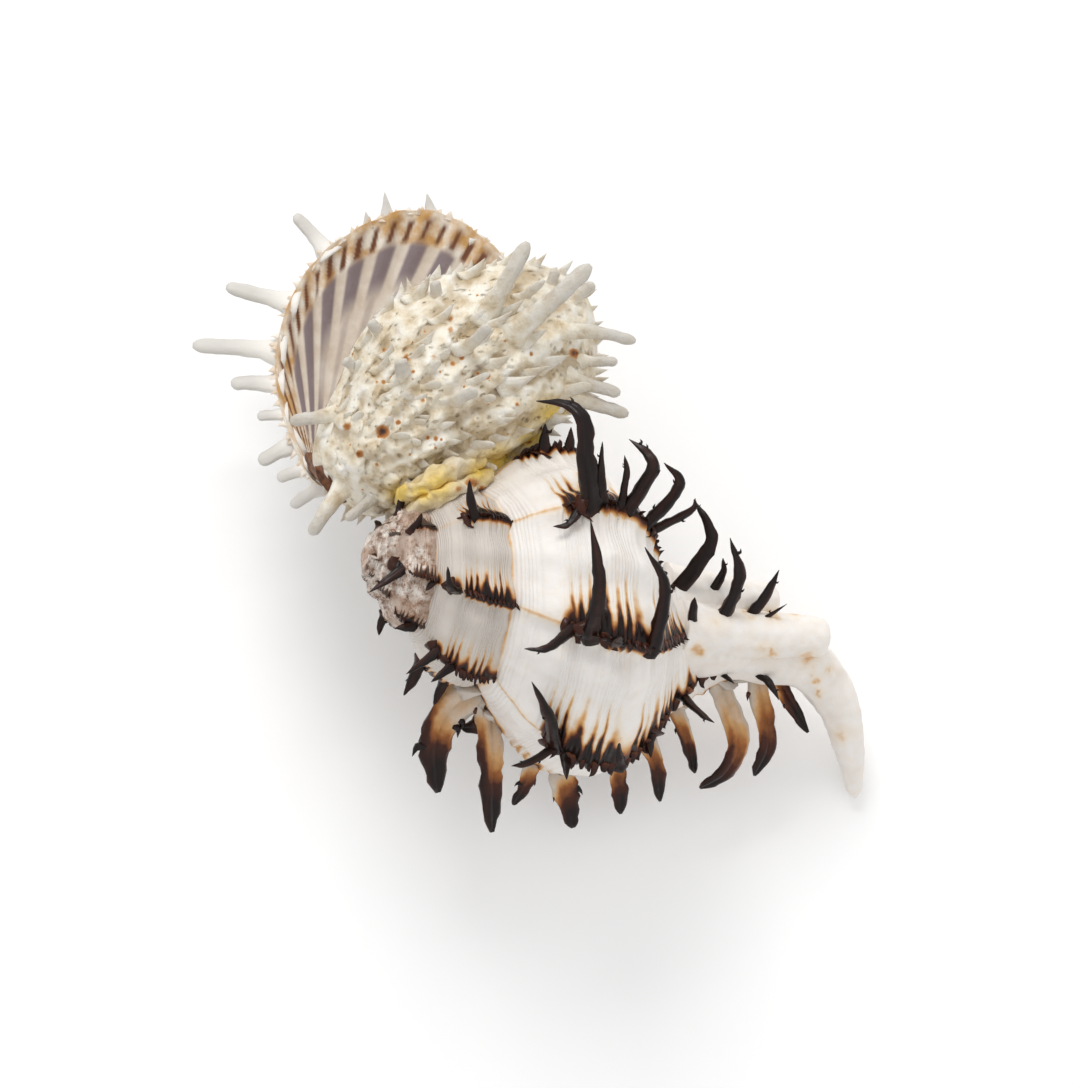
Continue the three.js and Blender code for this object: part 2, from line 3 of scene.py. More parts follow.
import bpy
import numpy as np
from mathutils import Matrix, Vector


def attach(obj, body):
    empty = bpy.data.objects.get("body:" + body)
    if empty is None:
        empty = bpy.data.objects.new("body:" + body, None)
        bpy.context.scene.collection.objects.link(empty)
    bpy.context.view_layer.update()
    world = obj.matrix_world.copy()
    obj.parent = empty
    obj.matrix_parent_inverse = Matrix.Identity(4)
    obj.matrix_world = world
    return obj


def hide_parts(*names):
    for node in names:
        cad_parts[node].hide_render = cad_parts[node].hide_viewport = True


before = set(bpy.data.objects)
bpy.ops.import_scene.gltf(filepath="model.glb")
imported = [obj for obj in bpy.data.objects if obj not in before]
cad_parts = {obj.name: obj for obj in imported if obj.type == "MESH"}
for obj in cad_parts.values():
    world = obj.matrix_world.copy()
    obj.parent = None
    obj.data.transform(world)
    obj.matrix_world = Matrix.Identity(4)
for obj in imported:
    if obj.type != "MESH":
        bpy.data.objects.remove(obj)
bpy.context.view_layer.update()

rng = np.random.default_rng(11)

# Everything is laid out in millimetres as one sees the shell's back: x right, y up, z to the eye.
# PLACE and TILT turn that view into the row frame, where the eye looks down.
TILT = math.radians(6)
PLACE = np.array([14.601, -21.777, 35.674])


def to_frame(points):
    x, y, z = np.asarray(points, float).T
    turned = np.stack([
        x,
        y * math.cos(TILT) - z * math.sin(TILT),
        y * math.sin(TILT) + z * math.cos(TILT),
    ], axis=1)
    return (turned + PLACE) * 0.001


# Small helpers

def unit(vectors):
    return vectors / np.linalg.norm(vectors, axis=-1, keepdims=True)


def smooth(low, high, values):
    share = np.clip((np.asarray(values, float) - low) / (high - low), 0, 1)
    return share * share * (3 - 2 * share)


def bell(values, width):
    return np.exp(-(np.asarray(values, float) / width) ** 2)


def seen_gap(points, x, y):
    """How far points are from [x, y] in the view."""
    return np.hypot(points[..., 0] - x, points[..., 1] - y)


def lattice_noise(points, size, seed):
    """Smooth value noise from -1 to 1 at points, with features about size across."""
    cell = np.asarray(points, float) / size
    base = np.floor(cell).astype(np.int64)
    part = cell - base
    part = part * part * (3 - 2 * part)
    total = np.zeros(cell.shape[:-1])
    for corner in range(8):
        step = np.array([corner & 1, corner >> 1 & 1, corner >> 2 & 1])
        # A fixed hash gives each corner of the lattice its value
        key = (base + step) @ np.array([73856093, 19349663, 83492791]) + seed * 2654435
        key = (key ^ (key >> 13)) * 1274126177 & 0x7FFFFFFF
        value = (key ^ (key >> 16)) % 65536 / 32767.5 - 1
        total += value * np.prod(np.where(step == 1, part, 1 - part), axis=-1)
    return total


def catmull(points, shares, closed=False):
    """A smooth curve through points, evaluated at shares from 0 to 1."""
    points = np.asarray(points, float)
    if closed:
        padded = np.vstack([points[-1], points, points[:2]])
    else:
        padded = np.vstack([2 * points[0] - points[1], points, 2 * points[-1] - points[-2]])
    spans = len(padded) - 3
    place = np.asarray(shares) * spans
    low = np.minimum(np.floor(place).astype(int), spans - 1)
    t = (place - low)[:, None]
    p0, p1, p2, p3 = (padded[low + k] for k in range(4))
    return 0.5 * (
        2 * p1 + (p2 - p0) * t + (2 * p0 - 5 * p1 + 4 * p2 - p3) * t ** 2
        + (3 * p1 - p0 - 3 * p2 + p3) * t ** 3
    )


# The coiling axis, and the whorls counted in turns: 0 is the lip, -1 is one whorl before it.
# A station is a distance along the axis. Varix 0 is the lip, and those before it count down.

LIP_GIRTH, GIRTH_PER_TURN = 36.5, 1.6
APEX_STATION, SPIRE_SPAN, STATION_PER_TURN = -55, 47.4, 2.16
VARICES, LIP_ANGLE = 7, 203
VARIX_RISE, VARIX_ONSET, VARIX_FALL = 0.085, 0.2, 0.07
SUTURE_SHARE, CORE_SHARE = 0.48, 0.05
DOWN_ANGLE, AWAY_ANGLE = math.radians(13), math.radians(22)
AXIS = np.array([
    math.cos(DOWN_ANGLE) * math.cos(AWAY_ANGLE),
    -math.sin(DOWN_ANGLE) * math.cos(AWAY_ANGLE),
    -math.sin(AWAY_ANGLE),
])
AXIS_UP = np.array([math.sin(DOWN_ANGLE), math.cos(DOWN_ANGLE), 0])
AXIS_OUT = np.cross(AXIS, AXIS_UP)
# The outside of the whorl's cut: station past the shoulder, and radius, both in girths
PROFILE = np.array([
    [0, 0.88], [0.17, 0.975], [0.36, 1], [0.56, 0.93], [0.74, 0.73], [0.9, 0.5], [1.12, 0.28],
    [1.42, 0.17],
])
# Places along the cut number its corners: 4 is the shoulder, 12 the end beside the axis
SHOULDER_PLACE, LAST_PLACE = 4, 12


def out_at(turn, ahead=0):
    """The direction away from the axis at a turn, or some degrees ahead of it."""
    angle = math.radians(LIP_ANGLE + 360 * turn + ahead)
    return AXIS_UP * math.cos(angle) + AXIS_OUT * math.sin(angle)


def on_shell(cut, turn):
    """The points of a cut, given as rows of station and radius, at one turn."""
    return AXIS * cut[:, :1] + out_at(turn) * cut[:, 1:]


def girth_at(turn):
    return LIP_GIRTH * GIRTH_PER_TURN ** turn


def shoulder_at(turn):
    return APEX_STATION + SPIRE_SPAN * STATION_PER_TURN ** turn


def crest_offset(turn):
    """How far a turn is past the nearest crest, in varices."""
    place = turn * VARICES
    return place - np.round(place)


def swell_at(off):
    return 1 + VARIX_RISE * bell(off, np.where(off < 0, VARIX_ONSET, VARIX_FALL))


def cut_at(turn, places):
    """Points of the whorl's cut at one turn, as rows of station and radius."""
    plain_girth = girth_at(turn)
    girth = plain_girth * swell_at(crest_offset(turn))
    shoulder, before = shoulder_at(turn), shoulder_at(turn - 1)
    suture = before + SUTURE_SHARE * (shoulder - before)
    suture_radius = 0.93 * girth_at(turn - 1)
    shoulder_radius = PROFILE[0, 1] * girth
    core = CORE_SHARE * girth
    corners = [
        [suture + 0.1 * girth, core],
        [suture, 0.6 * suture_radius],
        [suture - 0.2, suture_radius],
        [(suture + shoulder) / 2, suture_radius + 0.62 * (shoulder_radius - suture_radius)],
        *(PROFILE * [plain_girth, girth] + [shoulder, 0]),
        [shoulder + 1.5 * plain_girth, core],
    ]
    return catmull(corners, np.asarray(places) / LAST_PLACE)


def even_places(count):
    """Places along the cut that are evenly spaced on the last whorl, denser on the outside."""
    fine = np.linspace(0, LAST_PLACE, 800)
    line = cut_at(-0.25, fine)
    steps = np.linalg.norm(np.diff(line, axis=0), axis=1)
    middle = (fine[1:] + fine[:-1]) / 2
    steps *= np.where(middle < 1.8, 0.25, np.where(middle > 11.2, 0.3, 1))
    length = np.concatenate([[0], np.cumsum(steps)])
    return np.interp(np.linspace(0, length[-1], count), length, fine)


# Meshes

def mesh_object(name, points, faces, fields, shell):
    material, node, slot, _ = shell
    mesh = bpy.data.meshes.new(name)
    mesh.from_pydata(to_frame(points).tolist(), [], [tuple(f) for f in faces])
    for key, values in fields.items():
        attribute = mesh.attributes.new(key, "FLOAT", "POINT")
        attribute.data.foreach_set("value", np.asarray(values, np.float32))
    mesh.materials.append(material)
    mesh.shade_smooth()
    made = bpy.data.objects.new(name, mesh)
    bpy.context.scene.collection.objects.link(made)
    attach(made, "root")
    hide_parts(node)


def tube_faces(rings, sides):
    """Quads between successive rings, then fans to one more point before and after them."""
    around = np.arange(sides)
    following = (around + 1) % sides
    start = np.arange(rings - 1)[:, None] * sides
    a, b = start + around, start + following
    quads = np.stack([a, b, b + sides, a + sides], axis=-1).reshape(-1, 4)
    top = (rings - 1) * sides
    before = np.full(sides, rings * sides)
    fans = np.vstack([
        np.stack([before, following, around], axis=1),
        np.stack([before + 1, around + top, following + top], axis=1),
    ])
    return quads, fans


class Pile:
    """Gathers closed tubes of one shell, with their fields, into one mesh."""

    def __init__(self, shell):
        self.shell = shell
        self.points, self.faces, self.count = [], [], 0
        self.fields = {key: [] for key in shell[-1]}

    def add_tube(self, grid, **fields):
        """Rings of points, closed with one more point at both ends."""
        rings, sides = grid.shape[:2]
        self.points += [grid.reshape(-1, 3), grid[[0, -1]].mean(1)]
        for faces in tube_faces(rings, sides):
            self.faces += (faces + self.count).tolist()
        self.count += rings * sides + 2
        for key, rows in self.fields.items():
            values = np.broadcast_to(fields.get(key, 0.0), (rings, sides)).ravel()
            rows += [values, values[[0, -1]]]

    def build(self, name):
        fields = {key: np.concatenate(rows) for key, rows in self.fields.items()}
        mesh_object(name, np.vstack(self.points), self.faces, fields, self.shell)


# Materials

class Nodes:
    """Short calls for building one node tree."""

    def __init__(self, name):
        self.material = bpy.data.materials.new(name)
        self.material.use_nodes = True
        self.tree = self.material.node_tree

    def fill(self, node, values):
        """Links or sets inputs of a node. Three numbers are a colour."""
        for key, value in values.items():
            if isinstance(value, bpy.types.NodeSocket):
                self.tree.links.new(value, node.inputs[key])
            elif isinstance(value, tuple):
                node.inputs[key].default_value = (*value, 1)
            else:
                node.inputs[key].default_value = value

    def new(self, kind, values, **settings):
        node = self.tree.nodes.new(kind)
        for key, value in settings.items():
            setattr(node, key, value)
        self.fill(node, values)
        return node

    def shade(self, **inputs):
        """Links or sets inputs of the material's shader."""
        self.fill(self.tree.nodes["Principled BSDF"],
                  {key.replace("_", " "): value for key, value in inputs.items()})

    def field(self, name):
        return self.new("ShaderNodeAttribute", {}, attribute_name=name).outputs["Fac"]

    def noise(self, scale, detail, roughness=0.55):
        place = self.new("ShaderNodeTexCoord", {}).outputs["Object"]
        return self.new(
            "ShaderNodeTexNoise",
            {"Vector": place, "Scale": scale, "Detail": detail, "Roughness": roughness},
        ).outputs["Fac"]

    def math(self, kind, *values):
        return self.new("ShaderNodeMath", dict(enumerate(values)), operation=kind).outputs[0]

    def span(self, value, low, high, to_low=0.0, to_high=1.0):
        return self.new(
            "ShaderNodeMapRange",
            {"Value": value, "From Min": low, "From Max": high, "To Min": to_low,
             "To Max": to_high},
            interpolation_type="SMOOTHSTEP",
        ).outputs["Result"]

    def ramp(self, value, stops):
        node = self.new("ShaderNodeValToRGB", {"Fac": value})
        elements = node.color_ramp.elements
        while len(elements) < len(stops):
            elements.new(0.5)
        for element, (place, color) in zip(elements, stops):
            element.position = place
            element.color = (*color, 1)
        return node.outputs["Color"]

    def mix(self, share, a, b):
        # The colours of this node are its inputs 6 and 7 and its output 2
        return self.new("ShaderNodeMix", {0: share, 6: a, 7: b}, data_type="RGBA").outputs[2]

    def bump(self, height, distance, strength, below=None):
        values = {"Height": height, "Distance": distance, "Strength": strength}
        if below is not None:
            values["Normal"] = below
        return self.new("ShaderNodeBump", values).outputs["Normal"]


THREADS_PER_CORD = 3


def murex_material():
    n = Nodes("murex")
    dark, dull, cord = n.field("dark"), n.field("dull"), n.field("cord")
    patches = n.noise(420.0, 5.0)
    broad = n.noise(90.0, 3.0)
    fine = n.noise(2600.0, 3.0)
    # The colour runs from white over orange and brown to nearly black
    shifted = n.math("MULTIPLY_ADD", n.math("SUBTRACT", patches, 0.5), 0.22, dark)
    grown = n.ramp(shifted, [
        (0.0, (0.84, 0.80, 0.76)), (0.15, (0.82, 0.73, 0.62)), (0.29, (0.66, 0.37, 0.14)),
        (0.44, (0.33, 0.115, 0.03)), (0.60, (0.06, 0.014, 0.006)), (0.85, (0.010, 0.005, 0.004)),
    ])
    # Worn older whorls are greyish pink with cream and dark grains
    grains = n.ramp(n.noise(520.0, 6.0, 0.75), [
        (0.37, (0.07, 0.026, 0.014)), (0.43, (0.36, 0.22, 0.15)), (0.50, (0.62, 0.51, 0.44)),
        (0.60, (0.84, 0.78, 0.71)),
    ])
    grains = n.mix(n.span(broad, 0.48, 0.6, 0.0, 0.6), grains, (0.34, 0.17, 0.085))
    old_share = n.span(dull, 0.5, 1.0, 0.0, 0.92)
    grey_share = n.span(dull, 0.0, 0.6, 0.0, 0.62)
    light = n.span(dark, 0.12, 0.4, 1.0, 0.0)
    greyed = n.mix(n.math("MULTIPLY", grey_share, light), grown, (0.43, 0.37, 0.31))
    worn = n.mix(n.math("MULTIPLY", old_share, n.span(dark, 0.3, 0.6, 1.0, 0.15)), greyed, grains)
    # Faint warm and grey clouds, and a grey line of painted shade low between each two cords
    clouded = n.mix(
        n.math("MULTIPLY", n.span(broad, 0.50, 0.72, 0.0, 0.3), light), worn, (0.62, 0.53, 0.46),
    )
    furrow = n.math("MULTIPLY", n.math("MULTIPLY", n.field("furrow"), light), 0.24)
    n.shade(Base_Color=n.mix(furrow, clouded, (0.40, 0.34, 0.31)))
    n.shade(Roughness=n.span(dark, 0.3, 0.8, 0.5, 0.3))
    threads = n.math("SINE", n.math("MULTIPLY", cord, 2 * math.pi * THREADS_PER_CORD))
    low = n.bump(threads, 0.00007, 0.8)
    middle = n.bump(patches, 0.00035, 0.6, low)
    grain = n.math("MULTIPLY", fine, n.span(dull, 0.4, 1.0, 0.35, 2.5))
    n.shade(Normal=n.bump(grain, 0.0001, 0.7, middle))
    n.shade(IOR=1.5, Specular_IOR_Level=0.24)
    return n.material


def attached_material():
    n = Nodes("attached_valve")
    mark, yellow, grey = n.field("mark"), n.field("yellow"), n.field("grey")
    cloud, fine = n.noise(260.0, 5.0), n.noise(1800.0, 4.0)
    mark = n.math("MULTIPLY_ADD", n.math("SUBTRACT", n.noise(900.0, 4.0), 0.5), 0.45, mark)
    base = n.ramp(cloud, [
        (0.30, (0.54, 0.42, 0.26)), (0.43, (0.72, 0.63, 0.48)), (0.56, (0.82, 0.77, 0.66)),
        (0.72, (0.86, 0.84, 0.80)),
    ])
    greyed = n.mix(grey, base, (0.52, 0.49, 0.45))
    # Brown painted shade in the low parts of the relief and on the cement seam
    hollow = n.mix(n.field("furrow"), greyed, (0.44, 0.33, 0.19))
    golden = n.mix(n.math("MULTIPLY", yellow, n.span(cloud, 0.3, 0.6, 0.6, 1.0)), hollow,
                   (0.78, 0.53, 0.04))
    marked = n.ramp(mark, [(0.0, (0.70, 0.42, 0.14)), (0.55, (0.40, 0.14, 0.03)),
                           (0.9, (0.045, 0.014, 0.008))])
    n.shade(Base_Color=n.mix(n.span(mark, 0.16, 0.42), golden, marked))
    low = n.bump(cloud, 0.0012, 0.8)
    n.shade(Normal=n.bump(fine, 0.00022, 0.8, low))
    n.shade(Roughness=0.5, IOR=1.5)
    return n.material


def free_material():
    n = Nodes("free_valve")
    groove, margin, dash = n.field("groove"), n.field("margin"), n.field("dash")
    outside = n.field("outside")
    cloud, fine = n.noise(200.0, 4.0), n.noise(1500.0, 4.0)
    base = n.ramp(cloud, [(0.35, (0.60, 0.50, 0.40)), (0.65, (0.72, 0.64, 0.55))])
    # The purple carries the rib stripes and the painted shade under the upper rim
    purple = n.mix(groove, base, (0.20, 0.15, 0.165))
    gold = n.ramp(cloud, [(0.38, (0.58, 0.33, 0.11)), (0.64, (0.84, 0.78, 0.68))])
    rimmed = n.mix(margin, purple, gold)
    dashed = n.mix(dash, rimmed, (0.15, 0.045, 0.012))
    chalk = n.mix(n.field("grey"), (0.80, 0.77, 0.72), (0.52, 0.50, 0.46))
    n.shade(Base_Color=n.mix(outside, dashed, chalk))
    n.shade(Roughness=n.span(margin, 0.0, 1.0, 0.32, 0.5))
    low = n.bump(cloud, 0.0006, 0.5)
    n.shade(Normal=n.bump(fine, 0.00012, 0.6, low))
    n.shade(IOR=1.5)
    return n.material


def plain_material(name, color, roughness):
    n = Nodes(name)
    shade = n.ramp(n.noise(3.0, 2.0), [(0.3, tuple(0.985 * c for c in color)), (0.7, color)])
    n.shade(Base_Color=shade, Roughness=roughness)
    return n.material


# What the pieces of each shell share: material, node, slot and fields
MUREX = murex_material(), "murex_shell", "murex", ("dark", "dull", "cord", "furrow")
ATTACHED = (attached_material(), "oyster_attached_valve", "oyster_outside",
            ("mark", "yellow", "grey", "furrow"))
FREE = (free_material(), "oyster_free_valve", "oyster_inside",
        ("groove", "margin", "dash", "outside", "grey"))

# Spine tables. A path is read off the view of the back: varix, width, root [x, y] on its varix,
# then [x, y, lift], where the lift is how much nearer to the eye than the root a point is.

BODY_SPINES = [
    [-4, 3.4, [-11.8, 33.2], [-11.5, 38.2, 1]],
    [-4, 2.8, [-5.9, 34], [-6.1, 37.5, 1]],
    [-4, 2.6, [3.5, 27], [0.5, 34.5, 0]],
    [-3, 2.2, [-3.6, 19.9], [-6.7, 17.2, 2], [-9.9, 16.6, 3]],
    [-3, 4.4, [-1.7, 20.8], [-3.1, 30.7, 7], [-3.6, 38.2, 8], [-7.1, 41.6, 7], [-13.4, 42.4, 5]],
    [-3, 2.4, [0.6, 20.8], [0, 27.5, 5], [0.2, 33.2, 6]],
    [-3, 2, [4.6, 22.9], [5.2, 27.5, 4], [4.8, 31.3, 4]],
    [-3, 3.2, [6.7, 22.9], [10.5, 28.1, 6], [9.4, 31.7, 6], [5.7, 34.6, 5]],
    [-3, 3, [14.1, 19.7], [16.2, 25.2, 5], [13, 29.8, 5]],
    [-3, 2.4, [15.1, 17.2], [18.5, 19.7, 4], [19.5, 22.5, 5]],
    [-3, 3.4, [18.9, 6.5], [22.7, 12.2, 6], [22.5, 17, 7], [19.5, 22.3, 6]],
    [-3, 2.4, [23.5, 3.4], [25.6, 6.5, 4], [25.8, 10.1, 5]],
    [-2, 2.6, [-6.3, -5.5], [-10.9, -8.2, 5], [-15.8, -8.4, 6]],
    [-2, 3.8, [-1.3, -3.4], [-0.4, 5.5, 9], [-2.3, 17.8, 12.7]],
    [-2, 3.4, [3.8, -4.6], [4, -5.9, 5]],
    [-2, 3.4, [10.9, -3.4], [13, 3.8, 8], [8.8, 12.4, 11.7]],
    [-2, 2.6, [18.9, -3.8], [19.3, -0.8, 5], [19.7, 1.9, 7]],
    [-2, 3.8, [23.5, -3.8], [29, 5, 7], [27.1, 14.3, 10]],
    [-2, 3.2, [30.7, -2.5], [34.6, 1.9, 4], [37.6, 7.6, 6]],
    [-2, 2.4, [35.9, -2.7], [39.3, 0.4, 4]],
    [-1, 3.6, [-10.1, -29.8], [-10.9, -22.3, 8], [-14.3, -15.3, 11]],
    [-1, 2.2, [-11.5, -31.3], [-15.1, -32.3, 4], [-18.5, -32.8, 6]],
    [-1, 3.2, [-7.1, -30.7], [-7.1, -35.7, 4]],
    [-1, 3, [2.9, -30.7], [2.7, -25.2, 7], [1.7, -19.3, 10]],
    [-1, 3, [10.5, -28.1], [10.5, -31.5, 4]],
    [-1, 2.4, [18.5, -19.7], [21.2, -22.5, 4], [23.9, -24.4, 6]],
    [-1, 2.2, [25.8, -13.4], [28.3, -16.4, 4]],
    [-1, 2.8, [33, -13.4], [35.9, -16.4, 4], [37.8, -19.9, 5]],
]

LIP_FRONDS = [
    [0, 6.4, [-25.6, -17.6], [-31.9, -22.3, 0], [-34.6, -29.8, 0], [-34, -39.3, -3]],
    [0, 5.4, [-23.1, -22.9], [-22.7, -35.5, -2], [-22.7, -47.9, -5]],
    [0, 3, [-21, -24.4], [-25.2, -25.6, 1], [-29.2, -25.8, 0]],
    [0, 2.8, [-13.4, -32.3], [-15.5, -37.8, -1], [-18.3, -42.4, -3]],
    [0, 4.4, [-7.6, -32.8], [-6.9, -40.7, -2], [-5.5, -47.4, -5]],
    [0, 3.4, [2.3, -30.7], [4.2, -37.6, -1], [4.6, -44.5, -4]],
    [0, 3.2, [9.7, -27.7], [12.2, -34.4, -1], [13, -41.8, -4]],
    [0, 2.8, [16.2, -21.8], [18.9, -29.2, 0], [20.4, -35.7, -3]],
    [0, 4.2, [26.5, -18.7], [29.6, -28.1, 1], [26.9, -35.3, 0], [21.4, -38.9, -2]],
    [0, 3.8, [33.6, -18.7], [35.9, -28.6, 1], [33, -36.3, -1]],
    [0, 3.2, [41.6, -22.3], [44.5, -27.1, -2]],
]

SPIRE_SPINES = [
    [-9, 2.6, [-30.7, 1.3], [-31.1, 4.4, 4], [-31.5, 8.4, 6]],
    [-9, 2.4, [-35.7, 2.1], [-36.1, 3.4, 3]],
    [-10, 2.6, [-26, 18.7], [-26.9, 22.3, 3], [-27.1, 26.2, 4]],
    [-8, 2.6, [-31.5, -13], [-35.1, -15.5, 3]],
    [-8, 2.6, [-36.8, -11.3], [-40.3, -13.9, 2]],
    [-15, 2.8, [-38.2, -1.9], [-42.6, -4.4, 2]],
    [-16, 2.8, [-42.8, 4.2], [-47.7, 3.1, 3]],
]

# Spines away from the eye: varix, width, place on the cut, length or None to the surface, lean.
HIDDEN_SPINES = [
    [-5, 4, 4, 17, 4], [-5, 3.2, 5.4, 13, 2], [-5, 3.4, 7, 15, 1], [-5, 2.8, 8.2, 9, 1],
    [-5, 3, 9.2, 9, 0], [-5, 2.4, 10.2, 6, -1],
    [-6, 4, 4, 13, 3], [-6, 4.4, 5.6, None, 0], [-6, 3.4, 7, 12, 1], [-6, 2.8, 8.2, 8, 0],
    [-6, 2.6, 9.4, 7, -1],
    [-11, 2.8, 4, 6, 1], [-11, 2.2, 5.6, 4, 0], [-12, 2.8, 4, 6, 1], [-12, 2.2, 5.6, 4, 0],
    [-13, 2.6, 4, 5, 1], [-13, 2.2, 5.6, 4, 0], [-7, 3, 4, 7, 2], [-7, 2.6, 5.6, 5, 1],
] + [[varix, 2, 4, 3.5, 0] for varix in (-17, -18, -19, -14)]

# The resting surface lies REST_DEPTH from the origin along DOWN
REST_DEPTH = 35.5
DOWN = np.array([0, -math.sin(TILT), -math.cos(TILT)])
CREST_PLACES = np.linspace(2, 11, 361)


def root_on(varix, seen):
    """The point of a varix seen nearest to [x, y], and its place on the cut."""
    turn = varix / VARICES
    line = on_shell(cut_at(turn, CREST_PLACES), turn)
    nearest = np.argmin(seen_gap(line, *seen))
    return line[nearest], CREST_PLACES[nearest]


# The whorls

CORDS = 25
PLACES = even_places(230)
PLACE_SHARE = np.linspace(0, 1, len(PLACES))
# Varix, place and width of each spine
ROOTS = [(row[0], root_on(row[0], row[2])[1], row[1])
         for row in BODY_SPINES + LIP_FRONDS + SPIRE_SPINES]
ROOTS += [(row[0], row[2], row[1]) for row in HIDDEN_SPINES]
# Cords counted along the cut, the stripe from 0 between two to 1 on one, and their strength
CORD = PLACE_SHARE * CORDS + 0.45 * np.sin(PLACE_SHARE * 19) + 0.3 * np.sin(PLACE_SHARE * 47)
STRIPE = 0.5 + 0.5 * np.cos(2 * np.pi * CORD)
UNEVEN = 0.75 + 0.45 * np.sin(PLACE_SHARE * 31 + 1) * np.sin(PLACE_SHARE * 83)
PAST_SHOULDER = smooth(SHOULDER_PLACE - 0.25, SHOULDER_PLACE + 0.1, PLACES)


def ring_at(turn):
    """Points of the whorl's outside at one turn, and how far each is past the frilled crest."""
    base_off = crest_offset(turn)
    size = girth_at(turn) / LIP_GIRTH
    # The crest runs forward at each cord, so its edge is frilled
    off = base_off - 0.05 * (STRIPE - 0.5) * PAST_SHOULDER * UNEVEN
    cut = cut_at(turn, PLACES)
    rise = 0.9 * cut[:, 1] * (swell_at(off) / swell_at(base_off) - 1)
    crest = bell(min(base_off, 0), 0.17) * bell(max(base_off, 0), 0.06)
    depth = size * (0.10 + 1.1 * crest * PAST_SHOULDER) * UNEVEN
    cords = depth * (STRIPE - 0.5) * (PLACES < 11.6)
    folds = 0.7 * (1 - crest) * np.sin(2 * np.pi * (turn * 16 + 0.15)) * bell(PLACES - 5.5, 2.2)
    # Uneven folds hang behind each crest
    folds += 0.5 * bell(base_off - 0.13, 0.11) * PAST_SHOULDER * np.sin(
        PLACES * 8.3 + 2 * np.sin(PLACES * 2.1 + round(turn * VARICES)))
    slope = np.gradient(cut, axis=0)
    normal = unit(np.stack([-slope[:, 1], slope[:, 0]], axis=1))
    cut = cut + normal * (cords + size * folds + rise)[:, None]
    cut[:, 1] = np.maximum(cut[:, 1], 0.3)
    points = on_shell(cut, turn)
    # The older whorls are worn to grains
    worn = smooth(-1.5, -1.9, turn)
    lumps = 0.32 * lattice_noise(points, 2.8, 21) + worn * (
        0.6 * lattice_noise(points, 2.8, 22) + 0.36 * lattice_noise(points, 1.0, 23))
    return points + out_at(turn) * lumps[:, None], off


def dark_at(turn, points, off):
    """How dark a ring is: a ragged band along each crest, a spot at each spine, thin lines."""
    varix = round(turn * VARICES)
    size = girth_at(turn) / LIP_GIRTH
    ragged = 0.05 * lattice_noise(points, 1.6, 24) + 0.04 * lattice_noise(points, 5.0, 25)
    before = np.maximum(-off, 0) * (1 + 0.9 * (STRIPE - 0.35) * UNEVEN) + ragged
    patchy = 0.75 + 0.45 * lattice_noise(points, 6.0, 26)
    band = np.where(
        off < 0,
        0.74 * smooth(0.23, 0.04, before) * patchy + 0.38 * smooth(0.52, 0.06, before),
        0.95 * bell(off, 0.055),
    )
    # The lip's own band is faint
    band *= (1.0 + 0.25 * (0.5 - STRIPE)) * PAST_SHOULDER * (0.3 if varix == 0 else 1)
    spot = np.zeros(len(PLACES))
    for root_varix, place, width in ROOTS:
        if root_varix == varix:
            spot = np.maximum(spot, bell(PLACES - place, 0.12 + 0.06 * width / size ** 0.6))
    spot *= 0.95 * bell(off, np.where(off < 0, 0.14, 0.06))
    thin = 0.27 * bell(crest_offset(turn), 0.035) * (1 - PAST_SHOULDER)
    seam = 0.27 * bell(PLACES - 2.12, 0.10)
    return np.maximum.reduce([band, spot, thin, seam]) * smooth(11, 10, PLACES)


def whorl_rings(turns):
    """Rings of the whorl's outside and the fields on them."""
    rings, dark = [], []
    for turn in turns:
        points, off = ring_at(turn)
        rings.append(points)
        dark.append(dark_at(turn, points, off))
    dull = 0.5 * smooth(-0.85, -1.1, turns) + 0.5 * smooth(-1.4, -1.75, turns)
    # The field for the low lines between the cords is painted shade
    fields = {"dark": dark, "dull": dull[:, None], "cord": CORD,
              "furrow": 0.22 * (1 - STRIPE) ** 3}
    shape = len(turns), len(PLACES)
    return np.array(rings), {key: np.broadcast_to(rows, shape) for key, rows in fields.items()}


def turn_steps(first, last, per_varix):
    """Turns from one varix to another, closest near the crests."""
    spread = np.linspace(-0.5, 0.5, per_varix, endpoint=False)
    spread = spread * (0.34 + 0.66 * (2 * np.abs(spread)) ** 1.2)
    varices = np.arange(first, last + 1)
    turns = (varices[:, None] + spread[None]).ravel()
    turns = turns[(turns >= first) & (turns <= last)]
    return np.unique(np.concatenate([[first], turns, [last]])) / VARICES


# The hollow behind the lip: its centre past the shoulder and off the axis, and its half sizes,
# all in girths, then its length in turns
HOLLOW_CENTRE, HOLLOW_HALF, HOLLOW_TURNS = np.array([0.42, 0.575]), np.array([0.4, 0.32]), 0.46


def hollow_centre(turn):
    return HOLLOW_CENTRE * girth_at(turn) + [shoulder_at(turn), 0]


def hollow_rings():
    """Rings of the hollow behind the lip, with points that face those of the outer ring."""
    station, radius = ((cut_at(0, PLACES) - hollow_centre(0)) / HOLLOW_HALF).T
    facing = np.arctan2(radius, station)
    around = np.stack([np.cos(facing), np.sin(facing)], axis=1)
    rings = []
    for share in np.linspace(0, 1, 18):
        turn = -HOLLOW_TURNS * share
        size = girth_at(turn) * math.sqrt(1 - 0.93 * share ** 2)
        rings.append(on_shell(hollow_centre(turn) + HOLLOW_HALF * size * around, turn))
    return np.array(rings)


def build_stretch(name, first, last, per_varix, lined=False):
    """The whorls from one varix to another. A lined stretch turns in at the lip's hollow."""
    rings, fields = whorl_rings(turn_steps(first, last, per_varix))
    if lined:
        hollow = hollow_rings()
        edge = [rings[-1] * (1 - share) + hollow[0] * share for share in (0.04, 0.3, 0.7)]
        lining = np.concatenate([edge, hollow])
        rings = np.concatenate([rings, lining])
        fields = {key: np.vstack([rows, np.full(lining.shape[:2], 0.02 if key == "dark" else 0)])
                  for key, rows in fields.items()}
    pile = Pile(MUREX)
    pile.add_tube(rings, **fields)
    pile.build(name)


